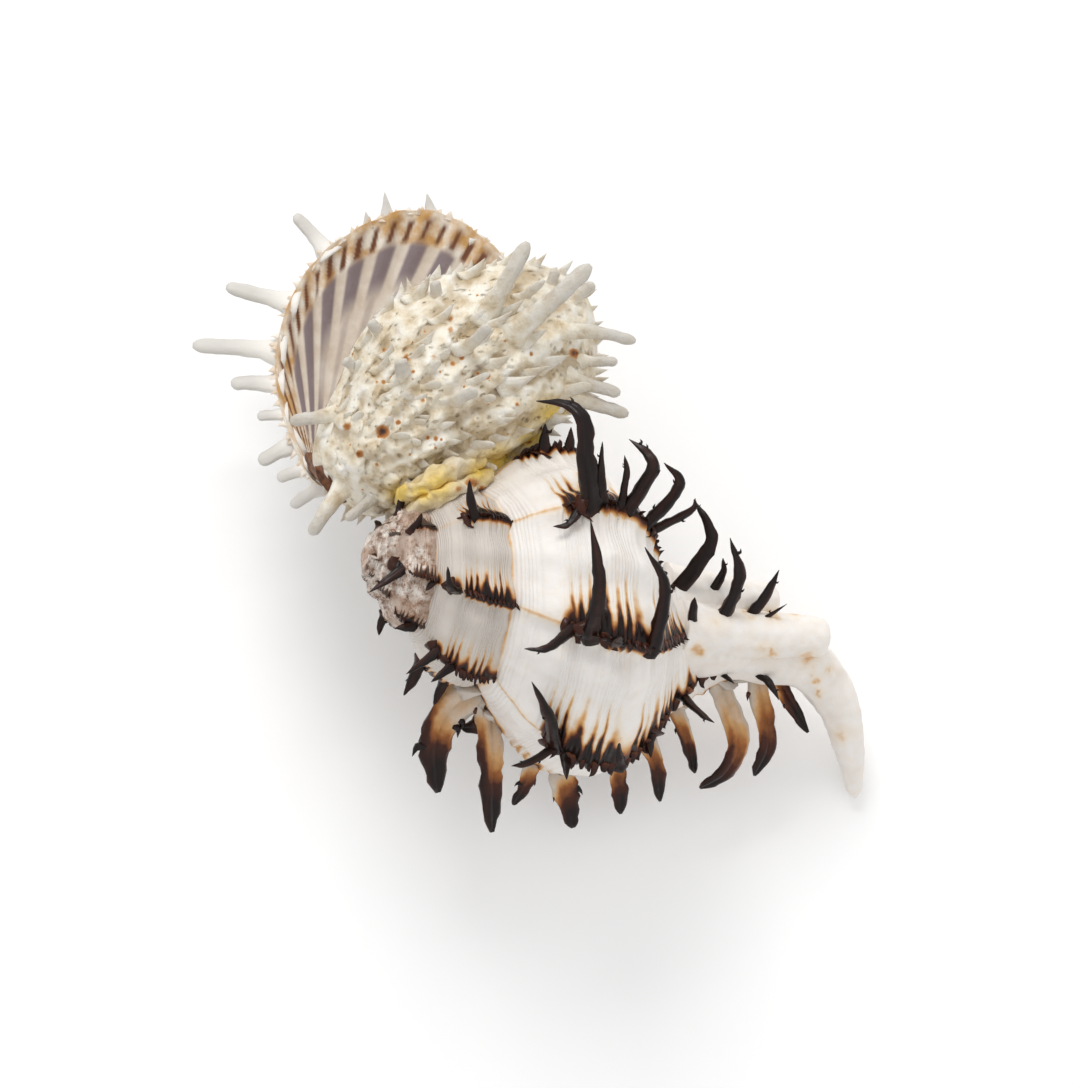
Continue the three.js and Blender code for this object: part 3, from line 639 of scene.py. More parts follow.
def build_whorls():
    steps = 26
    build_stretch("murex_spire", -30, -14, max(8, steps // 2))
    build_stretch("murex_middle_whorl", -14.3, -7, steps)
    build_stretch("murex_body_whorl_back", -7.2, -3.5, steps * 2)
    build_stretch("murex_body_whorl_front", -3.6, 0, steps * 2, lined=True)


# Rods: spines, fronds, scales and canals. A taper gives half widths along a rod, in its own half
# width. ROOT_DEPTH is how far spines of the murex are sunk in.

SPINE_TAPER = (1.7, 1.25, 0.98, 0.7, 0.14)
FROND_TAPER = (1.25, 1.12, 1.1, 0.95, 0.5)
HIDDEN_TAPER = (1.25, 0.95, 0.7, 0.2)
BARB_TAPER = (0.42, 0.3, 0.06)
FRILL_TAPER = (1.4, 1, 0.7, 0.15)
CONTACT_TAPER = (0.7, 1, 1, 0.9, 0.5)
BLUNT = (1.9, 1.15, 0.95, 0.92, 0.86)
POINTED = (2.3, 1.4, 0.9, 0.5, 0.12)
ROOT_DEPTH = 1.6
# The gutters of spines and fronds face this way, mostly to the eye
GUTTER_SIDE = np.array([0, 0.25, 1.0])


def rod(controls, half, taper, rings, sides, flatness=1.0, across=(0.3, 0.2, 1.0), flutes=0.0,
        flute_count=5, gutter=0.0, wobble=0.0, flare=0.0, seed=0):
    """Rings of a bent tapering rod, with shares along it and angles round it."""
    shares = np.linspace(0, 1, rings)
    centre = catmull(controls, shares)
    along = unit(np.gradient(centre, axis=0))
    radius = np.interp(shares * (len(taper) - 1), np.arange(len(taper)), half * np.array(taper))
    radius = radius * (1 + flare * bell(shares, 0.10))
    # The last rings round off the end
    radius[-3:] *= (0.92, 0.74, 0.35)
    side = np.array(across, float)
    turns = np.linspace(0, 2 * np.pi, sides, endpoint=False)
    grid = np.zeros((rings, sides, 3))
    for k in range(rings):
        side = unit(side - along[k] * (side @ along[k]))
        other = np.cross(along[k], side)
        scale = 1 + flutes * np.cos(flute_count * turns + 0.7 * seed)
        if gutter:
            facing = math.copysign(math.pi / 2, GUTTER_SIDE @ other)
            gap = np.abs((turns - facing + np.pi) % (2 * np.pi) - np.pi)
            scale -= gutter * bell(gap, 0.75) * smooth(0.05, 0.25, shares[k])
        grid[k] = centre[k] + radius[k] * scale[:, None] * (
            np.cos(turns)[:, None] * side + np.sin(turns)[:, None] * other * flatness)
    middle = centre[:, None]
    rough = wobble * lattice_noise(grid, 1.5, seed + 5)
    grid = middle + (grid - middle) * (1 + rough)[..., None]
    return grid, shares[:, None], turns


def spine_path(row):
    varix, width, seen, *bends = row
    root, _ = root_on(varix, seen)
    path = [root - out_at(varix / VARICES) * ROOT_DEPTH, root]
    path += [[x, y, root[2] + lift] for x, y, lift in bends]
    return np.array(path), width / 2


def on_crest(varix, place):
    """A point of a varix, and the directions away from the axis and ahead in growth."""
    turn = varix / VARICES
    return on_shell(cut_at(turn, [place]), turn)[0], out_at(turn), out_at(turn, 90)


def hidden_path(row):
    varix, width, place, wanted, lean = row
    root, out, ahead = on_crest(varix, place)
    length = wanted or (REST_DEPTH - root @ DOWN) / (out @ DOWN)
    recurve = 0.35 * length if wanted else 0
    path = [
        root + out * length * share - (ahead * recurve + AXIS * lean) * bend
        for share, bend in ((-ROOT_DEPTH / length, 0), (0.5, 0.25), (1, 1))
    ]
    return np.array(path), width / 2


def add_barb(pile, centre, along, direction, size, dark):
    """A small pointed hook on the side of a spine."""
    path = [centre, centre + direction * size * 0.7, centre + (direction + along * 0.7) * size]
    grid, _, _ = rod(path, size, BARB_TAPER, rings=7, sides=7)
    pile.add_tube(grid, dark=dark)


def frond_dark(shares, turns, half, seed):
    """The middle of a frond's front stays tan, its edges and its end go black."""
    edge = 0.08 + 0.70 * smooth(0.3, 0.85, shares + 0.14 * np.sin(turns + seed))
    tan_end = 0.5 if half > 2.6 else 0.36
    middle = 0.04 + 0.2 * smooth(0.1, 0.4, shares) + 0.4 * smooth(0.62, 0.95, shares)
    middle += 0.32 * smooth(tan_end, tan_end + 0.3, shares)
    return middle + (edge - middle) * smooth(0.35, 0.9, np.cos(turns) ** 2)


def spine_dark(shares, turns, foot_x, seed):
    """Spines are black. Towards the canal they rise from a white foot."""
    dark = 0.66 + 0.18 * smooth(0.02, 0.2, shares) + 0.12 * np.sin(2 * turns + seed) * shares
    return dark * (1 - 0.88 * smooth(14, 24, foot_x) * smooth(0.42, 0.16, shares))


def add_spine(pile, path, half, taper, seed, frond=False):
    half *= 1.15 if frond else 0.88
    grid, shares, turns = rod(
        path, half, taper, rings=30, sides=16, flatness=0.62 if frond else 0.78, across=AXIS,
        flutes=0.07, gutter=0.75 if frond else 0.35, wobble=0.24, flare=0.35, seed=seed,
    )
    if frond:
        dark = frond_dark(shares, turns, half, seed)
    else:
        dark = spine_dark(shares, turns, path[1][0], seed)
    pile.add_tube(grid, dark=dark, dull=0.5 if frond else 0.0)
    steps = 40
    curve = catmull(path, np.linspace(0, 1, steps + 1))
    length = np.linalg.norm(np.diff(curve, axis=0), axis=1).sum()
    if length < 6.5:
        return
    local = np.random.default_rng(seed)
    for _ in range(local.integers(0, 2 + int(min(3, length / 5)))):
        share = local.uniform(0.28, 0.9)
        k = int(share * steps)
        along = unit(curve[min(k + 1, steps)] - curve[max(k - 1, 0)])
        side = AXIS - along * (AXIS @ along) if frond else np.cross(along, [0, 0, 1.0])
        side = unit(side) * (1 if local.random() < 0.6 else -1)
        size = half * local.uniform(0.7, 1.15) * (1.1 - 0.5 * share)
        start = curve[k] + side * half * (0.85 if frond else 0.45) * (1 - share * 0.5)
        add_barb(pile, start, along, side, size, 0.6 if frond and share <= 0.5 else 0.9)


# Varix, first and last place of each row of frills
FRILLED = [(-1, 4.2, 10.2), (-2, 4.0, 10.6), (-3, 4.0, 10.4), (-4, 3.8, 10), (-8, 3.6, 7),
           (-9, 3.6, 7), (-10, 3.6, 7), (-15, 3.4, 6), (-16, 3.4, 6), (-17, 3.4, 6)]


def add_frills(pile, varix, first, last):
    """Short uneven scales along a crest, from one place to another."""
    local = np.random.default_rng(500 - varix)
    size = girth_at(varix / VARICES) / LIP_GIRTH
    place = first
    while place < last:
        root, out, ahead = on_crest(varix, place)
        length = size * local.uniform(1.2, 3.2)
        lean = AXIS * local.uniform(-0.3, 0.5)
        path = [root - out * 0.8 - ahead * 0.6, root + out * length * 0.45,
                root + (out * 0.8 + ahead * local.uniform(-0.2, 0.5) + lean) * length]
        grid, shares, _ = rod(path, size * local.uniform(0.5, 1.0), FRILL_TAPER, rings=10,
                              sides=8, flatness=0.6, across=AXIS, wobble=0.2, seed=7)
        pile.add_tube(grid, dark=0.58 + 0.2 * smooth(0.1, 0.5, shares))
        place += local.uniform(0.16, 0.34)


def build_spines():
    groups = {}
    for row in BODY_SPINES:
        groups.setdefault(f"murex_spines_row_{-row[0]}", []).append(row)
    groups["murex_lip_fronds"] = LIP_FRONDS
    groups["murex_spire_spines"] = SPIRE_SPINES
    seed = 0
    for name, rows in groups.items():
        pile = Pile(MUREX)
        frond = rows is LIP_FRONDS
        for row in rows:
            seed += 1
            add_spine(pile, *spine_path(row), FROND_TAPER if frond else SPINE_TAPER, seed, frond)
        pile.build(name)
    pile = Pile(MUREX)
    for row in FRILLED:
        add_frills(pile, *row)
    pile.build("murex_frills")
    pile = Pile(MUREX)
    for row in HIDDEN_SPINES:
        seed += 1
        add_spine(pile, *hidden_path(row), HIDDEN_TAPER, seed)
    pile.build("murex_under_spines")


# Name, path and radii of each canal, and the stains on them as x, y, size and darkness
CANALS = [
    ("murex_canal", [[18, -6, -8], [34, -9.5, -12.5], [44, -12.5, -16], [50.4, -20.4, -20],
                     [53.5, -31, -25], [54.9, -41.4, -30]], [8, 7, 5.6, 4.6, 3.2, 1.3]),
    ("murex_old_canal", [[16, -4.6, 2], [30, -6, -4], [41, -6.4, -8], [48.7, -6.9, -10]],
     [6.4, 5.2, 4.6, 4.1]),
    ("murex_older_canal", [[14, 1, -4], [26, 1.0, -7], [38, 1.2, -12]], [8, 5.6, 3.4]),
    ("murex_neck", [[8, -4, -2], [22, -6.5, -6], [34, -7.5, -10.5]], [11, 9, 5.5]),
]
CANAL_MARKS = [[34.5, -9.5, 3.0, 0.16], [44, -11, 2.4, 0.24], [45.2, -15.5, 1.2, 0.30],
               [46.3, -18.5, 1.2, 0.27], [51.5, -27.5, 2.4, 0.20], [24, -3.5, 3, 0.14],
               [36.5, -2.2, 2.0, 0.22], [41, -1.4, 1.6, 0.24], [36, -9.7, 1.3, 0.30],
               [20.5, -9.3, 1.6, 0.30], [31.5, -1.2, 1.8, 0.26], [27, -1.0, 1.6, 0.24],
               [48.6, -13.6, 1.6, 0.22], [29.5, -8.6, 1.0, 0.2]]


def build_canals():
    for number, (name, path, radii) in enumerate(CANALS):
        grid, shares, _ = rod(path, 1, radii, rings=90, sides=40, flutes=0.018, flute_count=9,
                              wobble=0.05, seed=70 + number)
        # The end closes in a rounded rim
        centre = grid.mean(1, keepdims=True)
        length = np.linalg.norm(np.diff(centre, axis=0), axis=-1).sum()
        start = 1 - max(radii[-1] / length, 0.04)
        closing = np.clip((shares - start) / (1 - start), 0, 1)[..., None]
        grid = centre + (grid - centre) * np.sqrt(np.clip(1 - closing ** 2, 0.01, 1))
        ragged = lattice_noise(grid, 1.3, 80)[..., None] * [1.1, -1.1, 0]
        dark = np.full(grid.shape[:2], 0.03)
        for x, y, size, value in CANAL_MARKS:
            dark = np.maximum(dark, value * bell(seen_gap(grid + ragged, x, y), size))
        pile = Pile(MUREX)
        pile.add_tube(grid, dark=dark)
        pile.build(name)


# The thorny oyster. Each valve is a bowl over a sloping plane: its edge, the middle of the bowl,
# the depth of the plane there, its slope, the bulge of the bowl and the point its ribs come from.

WALL_MIDDLE, WALL_EDGE = 2.4, 1.2
ATTACHED_VALVE = {
    "edge": [[-59.2, 27.5], [-58.8, 37], [-54.4, 46.4], [-50.6, 55], [-43.7, 63], [-33.2, 68.5],
             [-23.1, 71], [-12.4, 71], [-3.6, 66], [-0.6, 55.9], [-2.1, 44.9], [-11.5, 36.5],
             [-25.2, 25.5], [-37.8, 20.5], [-50.4, 19.4]],
    "centre": [-36, 44], "depth": 7, "slope": [-0.25, 0.33], "bulge": 15, "umbo": [-60, 21],
}
FREE_VALVE = {
    "edge": [[-59.6, 25.4], [-64.5, 33.4], [-68, 44.3], [-68.5, 53.8], [-65.5, 64.9],
             [-59.8, 73.7], [-52.5, 79.4], [-42, 83.8], [-32.1, 82.7], [-22.7, 76.2],
             [-14.7, 67.4], [-11.5, 55.9], [-14.7, 43.3], [-23.1, 32.8], [-35.7, 25.4],
             [-49.4, 22.3]],
    "centre": [-44, 52], "depth": -13, "slope": [-0.1, -0.44], "bulge": -12, "umbo": [-60, 27],
}
# Width, root [x, y], then [x, y, lift], as in the tables of the murex
ATTACHED_SPINES = [
    [3.4, [-24.1, 59.6], [-19.5, 67.4, 4], [-15.1, 75.4, 5]],
    [3.8, [-18.5, 56.3], [-10.1, 63.2, 6], [-2.1, 70.6, 6]],
    [2.8, [-8.4, 58], [0, 56.9, 3], [7.3, 55.2, 2]],
    [2.4, [-3.1, 51.2], [3.6, 51.2, 1]],
    [2.8, [-5.9, 47.5], [4.2, 44.5, 1]],
    [2.8, [-6.3, 44.5], [5.9, 40.1, 0]],
    [2.8, [-55.6, 40.1], [-64.5, 38.6, 2]],
    [3.2, [-53.5, 24.8], [-57.8, 19.1, 2], [-60.3, 14.9, 1]],
    [2.6, [-46.2, 22.3], [-53.1, 18.1, 2]],
    [2.6, [-28.8, 53.3], [-25.6, 55.4, 5], [-23.1, 58, 8]],
    [2.6, [-31.5, 41.2], [-28.6, 43.3, 5], [-25.6, 44.7, 7]],
    [3.4, [-40.9, 47.5], [-41.4, 50.8, 6]],
    [2.6, [-9.9, 66.4], [-9.2, 70.1, 1]],
    [2.6, [-5.2, 64.3], [-1.3, 67.4, 1]],
    [2.4, [-33.6, 64.3], [-34.4, 67.6, 2]],
    [2.4, [-45.1, 56.9], [-47.9, 59.2, 3]],
    [2.4, [-51.4, 49.6], [-53.3, 51.2, 3]],
]
FREE_SPINES = [
    [2.8, [-58, 74.8], [-61.5, 79.4, 0], [-64.9, 83.2, 0]],
    [2.2, [-49.4, 79.4], [-49.8, 84, 1]],
    [3, [-44.9, 80.6], [-45.8, 88.2, 1]],
    [3, [-35.9, 81.2], [-36.8, 88, 1]],
    [2.2, [-27.7, 78.5], [-23.1, 77.7, 1]],
    [3.2, [-64.7, 64.3], [-71.8, 65.7, 1], [-79.2, 67.6, 2]],
    [3.4, [-67.4, 53.3], [-76.6, 54.6, 1], [-86.1, 55, 2]],
    [3, [-67.6, 46.2], [-77.9, 47, 1]],
    [2.2, [-66.4, 39.7], [-72.2, 39.9, 0]],
    [3.2, [-63.6, 33.8], [-71.8, 30.2, 1]],
    [2.6, [-61.7, 28.1], [-67.8, 26.7, 1]],
    [2.6, [-59.2, 23.3], [-64.9, 21, 0]],
]
# On the back of the free bowl; the first two reach the resting surface.
FREE_BACK_SPINES = [
    [3, [-52, 66], [-55, 65, None]], [3, [-36, 70], [-35, 70, None]],
    [2.6, [-58, 52], [-66, 50, -9]], [2.8, [-44, 56], [-46, 54, -11]],
    [2.6, [-28, 60], [-23, 61, -8]], [2.6, [-52, 42], [-58, 38, -8]],
]


def valve_normal(valve):
    return unit(np.array([-valve["slope"][0], -valve["slope"][1], 1.0]))


def valve_inward(valve):
    """The direction from the outside of the bowl to its inside."""
    return -valve_normal(valve) * np.sign(valve["bulge"])


def on_valve(valve, xy):
    """The point of the valve's plane seen at [x, y]."""
    xy = np.asarray(xy, float)
    depth = valve["depth"] + (xy - valve["centre"]) @ valve["slope"]
    return np.concatenate([xy, depth[..., None]], -1)


def outer_face(valve, edge, share):
    """Points on the outer face: share 0 is the middle of the bowl, 1 its edge."""
    centre = on_valve(valve, valve["centre"])
    share = np.asarray(share)[..., None]
    return centre + (edge - centre) * share + \
        valve_normal(valve) * valve["bulge"] * (1 - share ** 2.4)


def valve_edge(valve, count):
    return catmull(on_valve(valve, valve["edge"]), np.arange(count) / count, closed=True)


def root_on_valve(valve, seen):
    """The point of the outer face seen nearest to [x, y]."""
    edge = valve_edge(valve, 200)[:, None]
    points = outer_face(valve, edge, np.linspace(0, 1, 60)).reshape(-1, 3)
    return points[np.argmin(seen_gap(points, *seen))]


def valve_bowl(valve, around, across, outer_shift, inner_shift=None):
    """Rings of a bowl, from the middle of its outside over the rim to the middle of its inside.

    Also returns 1 outside and 0 inside, and the share of the way from the middle to the edge.
    """
    share = 1 - np.linspace(0, 1, across) ** 1.15 * 0.97
    share = np.broadcast_to(share[:, None], (across, around))
    inward = valve_inward(valve)
    outer = outer_face(valve, valve_edge(valve, around), share)
    inner = outer + inward * (WALL_MIDDLE + (WALL_EDGE - WALL_MIDDLE) * share)[..., None]
    outer = outer - inward * outer_shift(outer, share)[..., None]
    if inner_shift:
        inner = inner + inward * inner_shift(inner, share)[..., None]
    outside = np.repeat([1.0, 0.0], across)[:, None]
    return np.concatenate([outer[::-1], inner]), outside, np.concatenate([share[::-1], share])


def umbo_angle(valve, points):
    """The angle of points round the umbo, and how far they are from it."""
    x, y = valve["umbo"]
    return np.arctan2(points[..., 1] - y, points[..., 0] - x), seen_gap(points, x, y)


def scatter_domes():
    """Low domes as x, y, radius and rise, larger and more towards the umbo."""
    domes = []
    for x in np.arange(-58, -8, 3.6):
        for y in np.arange(20, 68, 3.6):
            px, py = x + rng.uniform(-1.3, 1.3), y + rng.uniform(-1.3, 1.3)
            low = smooth(8, -12, (px + 44) * 0.55 + (py - 38) * 0.8)
            if rng.random() < 0.15 + 0.8 * low:
                domes.append((px, py, rng.uniform(1.3, 2.4) * (0.6 + 0.5 * low),
                              rng.uniform(0.7, 1.5) * (0.45 + 0.7 * low)))
    return np.array(domes)


DOMES = scatter_domes()


def dome_height(points):
    height = np.zeros(points.shape[:-1])
    for x, y, radius, rise in DOMES:
        gap = seen_gap(points, x, y) / radius
        height = np.maximum(height, rise * np.sqrt(np.clip(1 - gap ** 2, 0, 1)))
    return height


ATTACHED_RIBS, FREE_OUTER_RIBS, FREE_RIBS = 42, 34, 54


def attached_outer(points, share):
    angle, reach = umbo_angle(ATTACHED_VALVE, points)
    ribs = 0.5 * np.cos(angle * ATTACHED_RIBS + 0.6 * lattice_noise(points, 9, 3))
    pores = smooth(0.45, 0.8, lattice_noise(points, 0.8, 7))
    height = 1.6 * smooth(10, 30, reach) * ribs + dome_height(points) - 0.7 * pores
    for rise, size, seed in ((0.9, 3.0, 4), (0.7, 7.0, 5), (0.45, 1.3, 6)):
        height += rise * lattice_noise(points, size, seed)
    # The relief fades at the edge
    return height * (0.35 + 0.65 * smooth(1.0, 0.93, share))


def free_outer(points, _):
    angle, reach = umbo_angle(FREE_VALVE, points)
    return smooth(8, 30, reach) * 0.5 * np.cos(angle * FREE_OUTER_RIBS)


def free_inner(points, share):
    angle, reach = umbo_angle(FREE_VALVE, points)
    strength = smooth(0.35, 0.95, share) * smooth(12, 34, reach)
    return strength * 0.42 * np.cos(angle * FREE_RIBS)


# Marks as x, y, size and strength: the larger brown ones, then specks
ATTACHED_MARKS = [
    [-45.2, 36.3, 1.05, 1.0], [-42, 38.2, 0.5, 0.7], [-36.8, 42.8, 0.5, 0.5],
    [-52.7, 37.4, 0.8, 0.6], [-50, 31.7, 0.8, 0.6], [-19.7, 61.3, 0.6, 0.8],
    [-5.5, 52.9, 0.8, 0.9], [-23.5, 47.7, 0.6, 0.6], [-28.8, 51.5, 0.5, 0.6],
    [-34.2, 34.9, 0.5, 0.6], [-46.5, 29.5, 0.4, 0.5], [-31.1, 59.6, 0.75, 0.4],
    [-31.1, 57.3, 0.75, 0.42], [-40.1, 53.5, 0.8, 0.34], [-40.1, 51.6, 0.8, 0.5],
    [-34.5, 51.6, 0.9, 0.3], [-43.2, 47.3, 0.6, 0.55], [-45, 46.6, 0.5, 0.5],
    [-30.6, 50.4, 0.5, 0.6], [-38.8, 48.6, 0.4, 0.6],
]
ATTACHED_MARKS += [[rng.uniform(-56, -8), rng.uniform(24, 66), rng.uniform(0.15, 0.4),
                    rng.uniform(0.3, 0.75)] for _ in range(60)]
YELLOW_MARKS = [[-21, 30.0, 3.6], [-25, 28.5, 2.4], [-33.6, 25.4, 3.2], [-37, 23.4, 2.6],
                [-42, 23.4, 2.4], [-14.7, 34.8, 2.4], [-10, 40, 3]]
CONTACT_MARKS = [[-26.5, 26, 1.0, 0.8], [-24.5, 24.6, 0.7, 0.7], [-29.5, 24.4, 0.7, 0.5],
                 [-12.5, 37.5, 1.1, 0.8], [-15, 34.5, 0.6, 0.6]]


def spots(points, rows):
    total = np.zeros(points.shape[:-1])
    for x, y, size, *value in rows:
        spot = bell(seen_gap(points, x, y), size * 1.2)
        total = np.maximum(total, spot * (value[0] if value else 1))
    return total


def inside(edge, x, y):
    """Whether [x, y] lies inside a closed line, by counting crossings to its right."""
    a, b = edge, np.roll(edge, -1, axis=0)
    crossed = (a[:, 1] > y) != (b[:, 1] > y)
    climb = b[:, 1] - a[:, 1]
    climb[np.abs(climb) < 1e-9] = 1e-9
    at = a[:, 0] + (y - a[:, 1]) * (b[:, 0] - a[:, 0]) / climb
    return np.count_nonzero(crossed & (x < at)) % 2 == 1


def small_attached_spines():
    """Short scales along the ribs of the right half, leaning away from the umbo and to the eye."""
    rows = []
    edge, umbo = np.array(ATTACHED_VALVE["edge"]), np.array(ATTACHED_VALVE["umbo"])
    for degrees in np.arange(8, 84, 6.0):
        angle = math.radians(degrees + rng.uniform(-2, 2))
        for reach in np.arange(20, 62, 5.2):
            reach = reach + rng.uniform(-2, 2)
            x, y = umbo + reach * np.array([math.cos(angle), math.sin(angle)])
            if not inside(edge, x, y) or rng.random() < 0.25:
                continue
            length = rng.uniform(2.0, 4.0) + 4.0 * smooth(26, 50, reach) * rng.random()
            dx, dy = length * math.cos(angle - 0.15), length * math.sin(angle - 0.15)
            rows.append([rng.uniform(1.6, 3.2), [x, y], [x + dx, y + dy, rng.uniform(1.4, 3.4)]])
    return rows


def margin_spines(valve, first, last, count, longest):
    """Small teeth on the edge between two shares of its length, pointing away from the middle."""
    edge = valve_edge(valve, 400)
    rows = []
    for share in np.linspace(first, last, count):
        x, y = edge[int((share + rng.uniform(-0.006, 0.006)) * 400) % 400, :2]
        away = unit(np.array([x, y]) - valve["centre"]) + rng.uniform(-0.3, 0.3, 2)
        dx, dy = away * longest * rng.uniform(0.3, 1)
        rows.append([rng.uniform(1.2, 2.2), [x, y], [x + dx, y + dy, rng.uniform(-0.4, 1.2)]])
    return rows


def surface_z(x, y):
    """The height in the view of the resting surface at [x, y], half a spine's tip above it."""
    return (REST_DEPTH - x * DOWN[0] - y * DOWN[1]) / DOWN[2] + 0.6


def add_valve_spine(pile, valve, row, seed, grey, rings=24, sides=14, flat=0.8, taper=BLUNT,
                    shift=1.4, outside=1.0):
    """A spine, scale or tooth of a valve. Its root is moved by shift towards the middle."""
    width, seen, *bends = row
    root = root_on_valve(valve, seen)
    normal = valve_normal(valve)
    sunk = 0.7 if valve["bulge"] > 0 else 0.0
    middle = on_valve(valve, valve["centre"])
    path = [root + valve_inward(valve) * sunk + unit(middle - root) * shift]
    for x, y, lift in bends:
        path.append(np.array([x, y, surface_z(x, y) if lift is None else root[2] + lift]))
    if len(path) == 2:
        path.insert(1, (path[0] + path[1]) / 2 + normal * 0.4)
    grid, shares, _ = rod(
        path, width / 2, taper, rings, sides, flatness=flat,
        across=np.cross(path[-1] - path[0], normal), flutes=0.10, flute_count=6, wobble=0.12,
        flare=0.1, seed=seed,
    )
    pile.add_tube(grid, grey=grey * smooth(0.1, 0.7, shares) * 0.8, outside=outside, margin=1.0)


CONTACT = [[-40, 19.5], [-36, 21.5], [-31, 24], [-25.5, 26.5], [-20.5, 29.5], [-16, 32.8],
           [-12.5, 36.5], [-9.5, 40.5]]
# A shift from CONTACT and a half width for each of the two ridges of the seam
CONTACT_RIDGES = [([0, 0, 0], 2.7), ([-1.6, 3.2, -0.6], 3.2)]


def add_contact(pile):
    """The lumpy shell that cements the oyster to the whorls, on their surface along CONTACT."""
    whorls = np.concatenate([on_shell(cut_at(turn, np.linspace(1, 9, 90)), turn)
                             for turn in np.linspace(-16, -6, 240) / VARICES])
    path = []
    for x, y in CONTACT:
        near = seen_gap(whorls, x, y) < 1.6
        path.append([x, y, whorls[near, 2].max() - 0.2 if near.any() else 0.0])
    for number, (step, half) in enumerate(CONTACT_RIDGES):
        grid, _, _ = rod(np.array(path) + step, half, CONTACT_TAPER, rings=110, sides=28,
                         flatness=0.75, wobble=0.4, seed=90 + number)
        rough = lattice_noise(grid, 3.0, 92) + 0.5 * lattice_noise(grid, 1.1, 93)
        # The whole seam carries an even share of the brown painted shade
        pile.add_tube(grid + rough[..., None] * [0.8, 0.8, 0.9], furrow=0.3,
                      yellow=spots(grid, YELLOW_MARKS) * 0.95, mark=spots(grid, CONTACT_MARKS))


def build_attached():
    around, across = ((340, 130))
    grid, outside, share = valve_bowl(ATTACHED_VALVE, around, across, attached_outer)
    pile = Pile(ATTACHED)
    # The low parts of the outer relief get brown painted shade
    pile.add_tube(
        grid, mark=spots(grid, ATTACHED_MARKS) * outside,
        yellow=spots(grid, YELLOW_MARKS) * outside * 0.9,
        furrow=smooth(0.3, -1.0, attached_outer(grid, share)) * outside * 0.8,
    )
    pile.build("attached_valve_bowl")
    pile = Pile(ATTACHED)
    seed = 200
    for row in ATTACHED_SPINES:
        seed += 1
        add_valve_spine(pile, ATTACHED_VALVE, row, seed, 0.9, flat=0.55)
    for row in small_attached_spines():
        seed += 1
        add_valve_spine(pile, ATTACHED_VALVE, row, seed, 0.45, rings=12, sides=8, flat=0.4,
                        taper=POINTED if seed % 4 else BLUNT)
    for row in margin_spines(ATTACHED_VALVE, 0.28, 0.98, 46, 3.4):
        seed += 1
        add_valve_spine(pile, ATTACHED_VALVE, row, seed, 0.5, rings=12, sides=8, flat=0.5,
                        taper=POINTED)
    add_contact(pile)
    pile.build("attached_valve_spines")
    # The dark ligament of the hinge joins the two valves behind their beaks
    pile = Pile(ATTACHED)
    grid, _, _ = rod([[-55.5, 25.5, 8.5], [-57, 27, 3.5], [-58.5, 28.5, -1.5]], 1, [5.2, 4.6, 5.2],
                     rings=40, sides=36, flatness=0.4, across=(-0.69, 0.72, 0), wobble=0.15)
    pile.add_tube(grid, mark=0.8)
    pile.build("oyster_hinge")


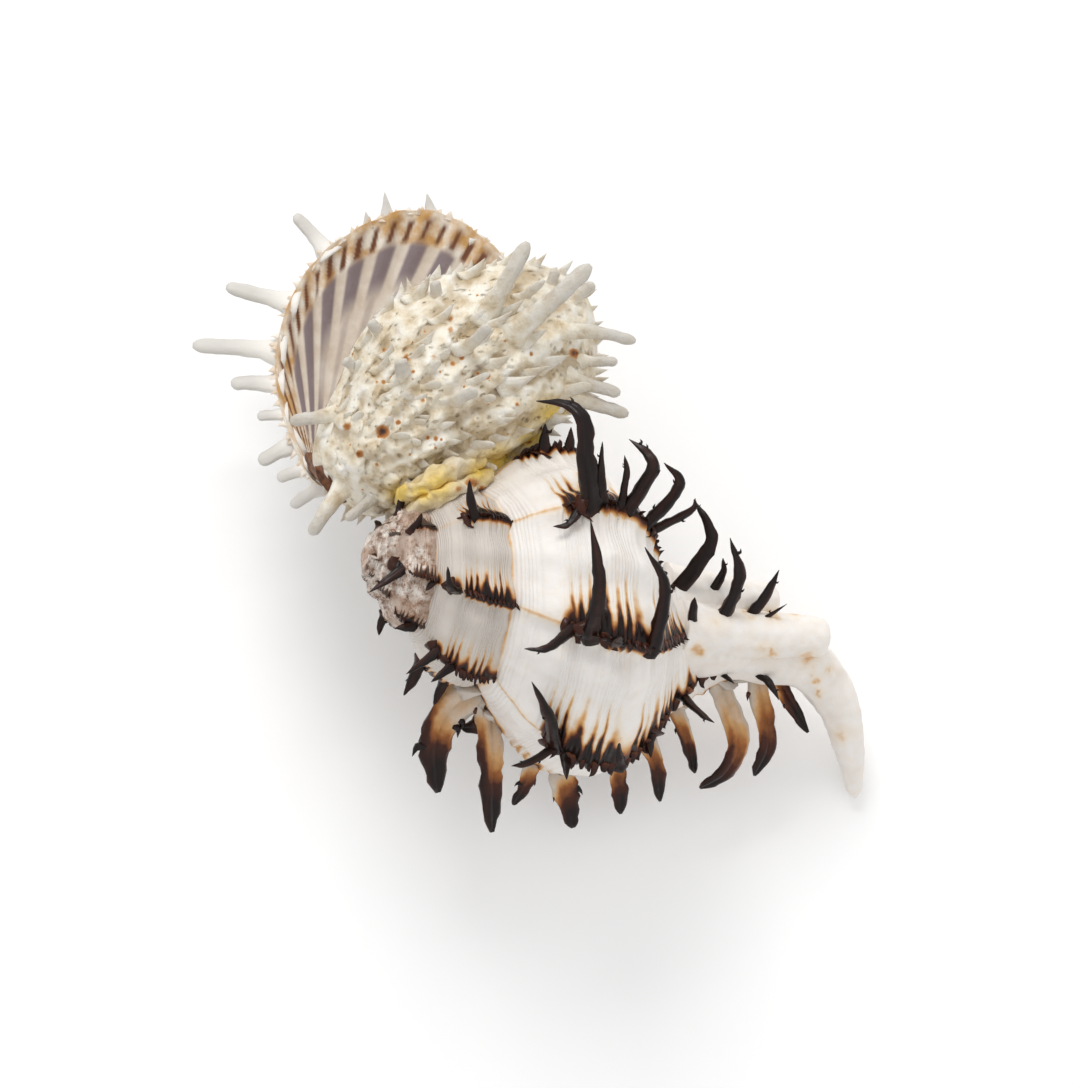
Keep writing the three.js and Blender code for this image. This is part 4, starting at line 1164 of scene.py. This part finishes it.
def build_free():
    around, across = ((380, 120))
    grid, outside, share = valve_bowl(FREE_VALVE, around, across, free_outer, free_inner)
    angle, _ = umbo_angle(FREE_VALVE, grid)
    inner = 1 - outside
    phase = np.cos(angle * FREE_RIBS)
    # Purple stripes along the ribs near the rim are the valve's colour; the broad purple band on
    # the upper side, under the rim, is painted shade of the rim
    groove = smooth(-0.1, 0.9, phase) * smooth(0.5, 0.78, share) * smooth(1.0, 0.86, share)
    groove = np.maximum(groove * 0.9, 0.95 * smooth(0.52, 0.68, share) * smooth(0.9, 0.8, share)
                        * smooth(0.5, 1.1, angle) * smooth(-0.2, 0.6, phase + 0.4))
    faint = 0.35 * smooth(0.0, 1.0, phase) * smooth(0.25, 0.5, share)
    # Two dashes to a rib, and a tan tinge between them
    wander = lattice_noise(grid, 4.0, 31)
    dash = smooth(0.0, 0.8, np.cos(angle * FREE_RIBS * 2) + 0.5 * wander)
    dash *= smooth(0.82, 0.86, share + 0.012 * wander)
    dash *= smooth(0.975, 0.93, share + 0.015 * wander)
    tan = 0.45 * smooth(0.0, 0.9, phase + 0.4 * wander) * smooth(0.80, 0.85, share)
    tan *= smooth(0.985, 0.95, share)
    pile = Pile(FREE)
    pile.add_tube(
        grid, groove=np.maximum(groove, faint) * inner, margin=smooth(0.81, 0.85, share) * inner,
        dash=np.maximum(dash, tan) * inner, outside=outside,
    )
    pile.build("free_valve_bowl")
    pile = Pile(FREE)
    for number, row in enumerate(FREE_SPINES):
        # The four at the top are slimmer, pointed and start further out
        slim = 0 < number < 5
        add_valve_spine(pile, FREE_VALVE, [row[0] * (0.72 if slim else 1.12), *row[1:]],
                        400 + number, 0.9, flat=0.5, taper=POINTED if slim else BLUNT,
                        shift=-0.5 if slim else 0.9)
    for number, row in enumerate(margin_spines(FREE_VALVE, 0.0, 0.62, 54, 1.9)):
        add_valve_spine(pile, FREE_VALVE, [row[0] * 0.6, *row[1:]], 900 + number, 0.2, rings=10,
                        sides=8, flat=0.45, taper=POINTED, shift=0.4, outside=0.4)
    for number, row in enumerate(FREE_BACK_SPINES):
        add_valve_spine(pile, FREE_VALVE, row, 430 + number, 0.5, shift=0.0)
    pile.build("free_valve_spines")


build_whorls()
build_spines()
build_canals()
build_attached()
build_free()

# Floor, lights and camera, in metres of the row frame. A light is its name, place, size and power.
LIGHTS = [("key", (-0.1, 0.65, 0.6), 0.35, 3.4), ("fill", (0.3, -0.3, 0.9), 0.8, 0.6)]
LIGHTS_AIM = Vector((0, -0.01, 0.03))
FRAME_MIDDLE, FRAME_SIDE, EYE_DISTANCE, SENSOR = [-12.6, 13.02, 0], 0.22848, 1.5, 36


def add_aimed(name, data, place, direction):
    made = bpy.data.objects.new(name, data)
    bpy.context.scene.collection.objects.link(made)
    made.location = place
    made.rotation_mode = "QUATERNION"
    made.rotation_quaternion = direction.to_track_quat("-Z", "Y")
    return made


def studio():
    bpy.ops.mesh.primitive_plane_add(size=4, location=(0, 0, 0))
    floor = bpy.context.object
    floor.name = "floor"
    floor.data.materials.append(plain_material("floor", (1.0, 1.0, 1.0), 0.9))
    world = bpy.data.worlds.new("world")
    bpy.context.scene.world = world
    world.use_nodes = True
    background = world.node_tree.nodes["Background"].inputs
    background["Color"].default_value = (1, 1, 1, 1)
    background["Strength"].default_value = 0.8
    for name, place, size, power in LIGHTS:
        lamp = bpy.data.lights.new(name, "AREA")
        lamp.shape = "SQUARE"
        lamp.size = size
        lamp.energy = power
        add_aimed(name, lamp, place, LIGHTS_AIM - Vector(place))
    bpy.context.scene.view_settings.view_transform = "Standard"


def camera():
    data = bpy.data.cameras.new("camera")
    data.sensor_width = SENSOR
    data.lens = SENSOR * EYE_DISTANCE / FRAME_SIDE
    data.clip_start, data.clip_end = 0.05, 20
    back = Vector((0, -math.sin(TILT), math.cos(TILT)))
    aim = Vector(to_frame([FRAME_MIDDLE])[0])
    bpy.context.scene.camera = add_aimed("camera", data, aim + back * EYE_DISTANCE, -back)


studio()
camera()
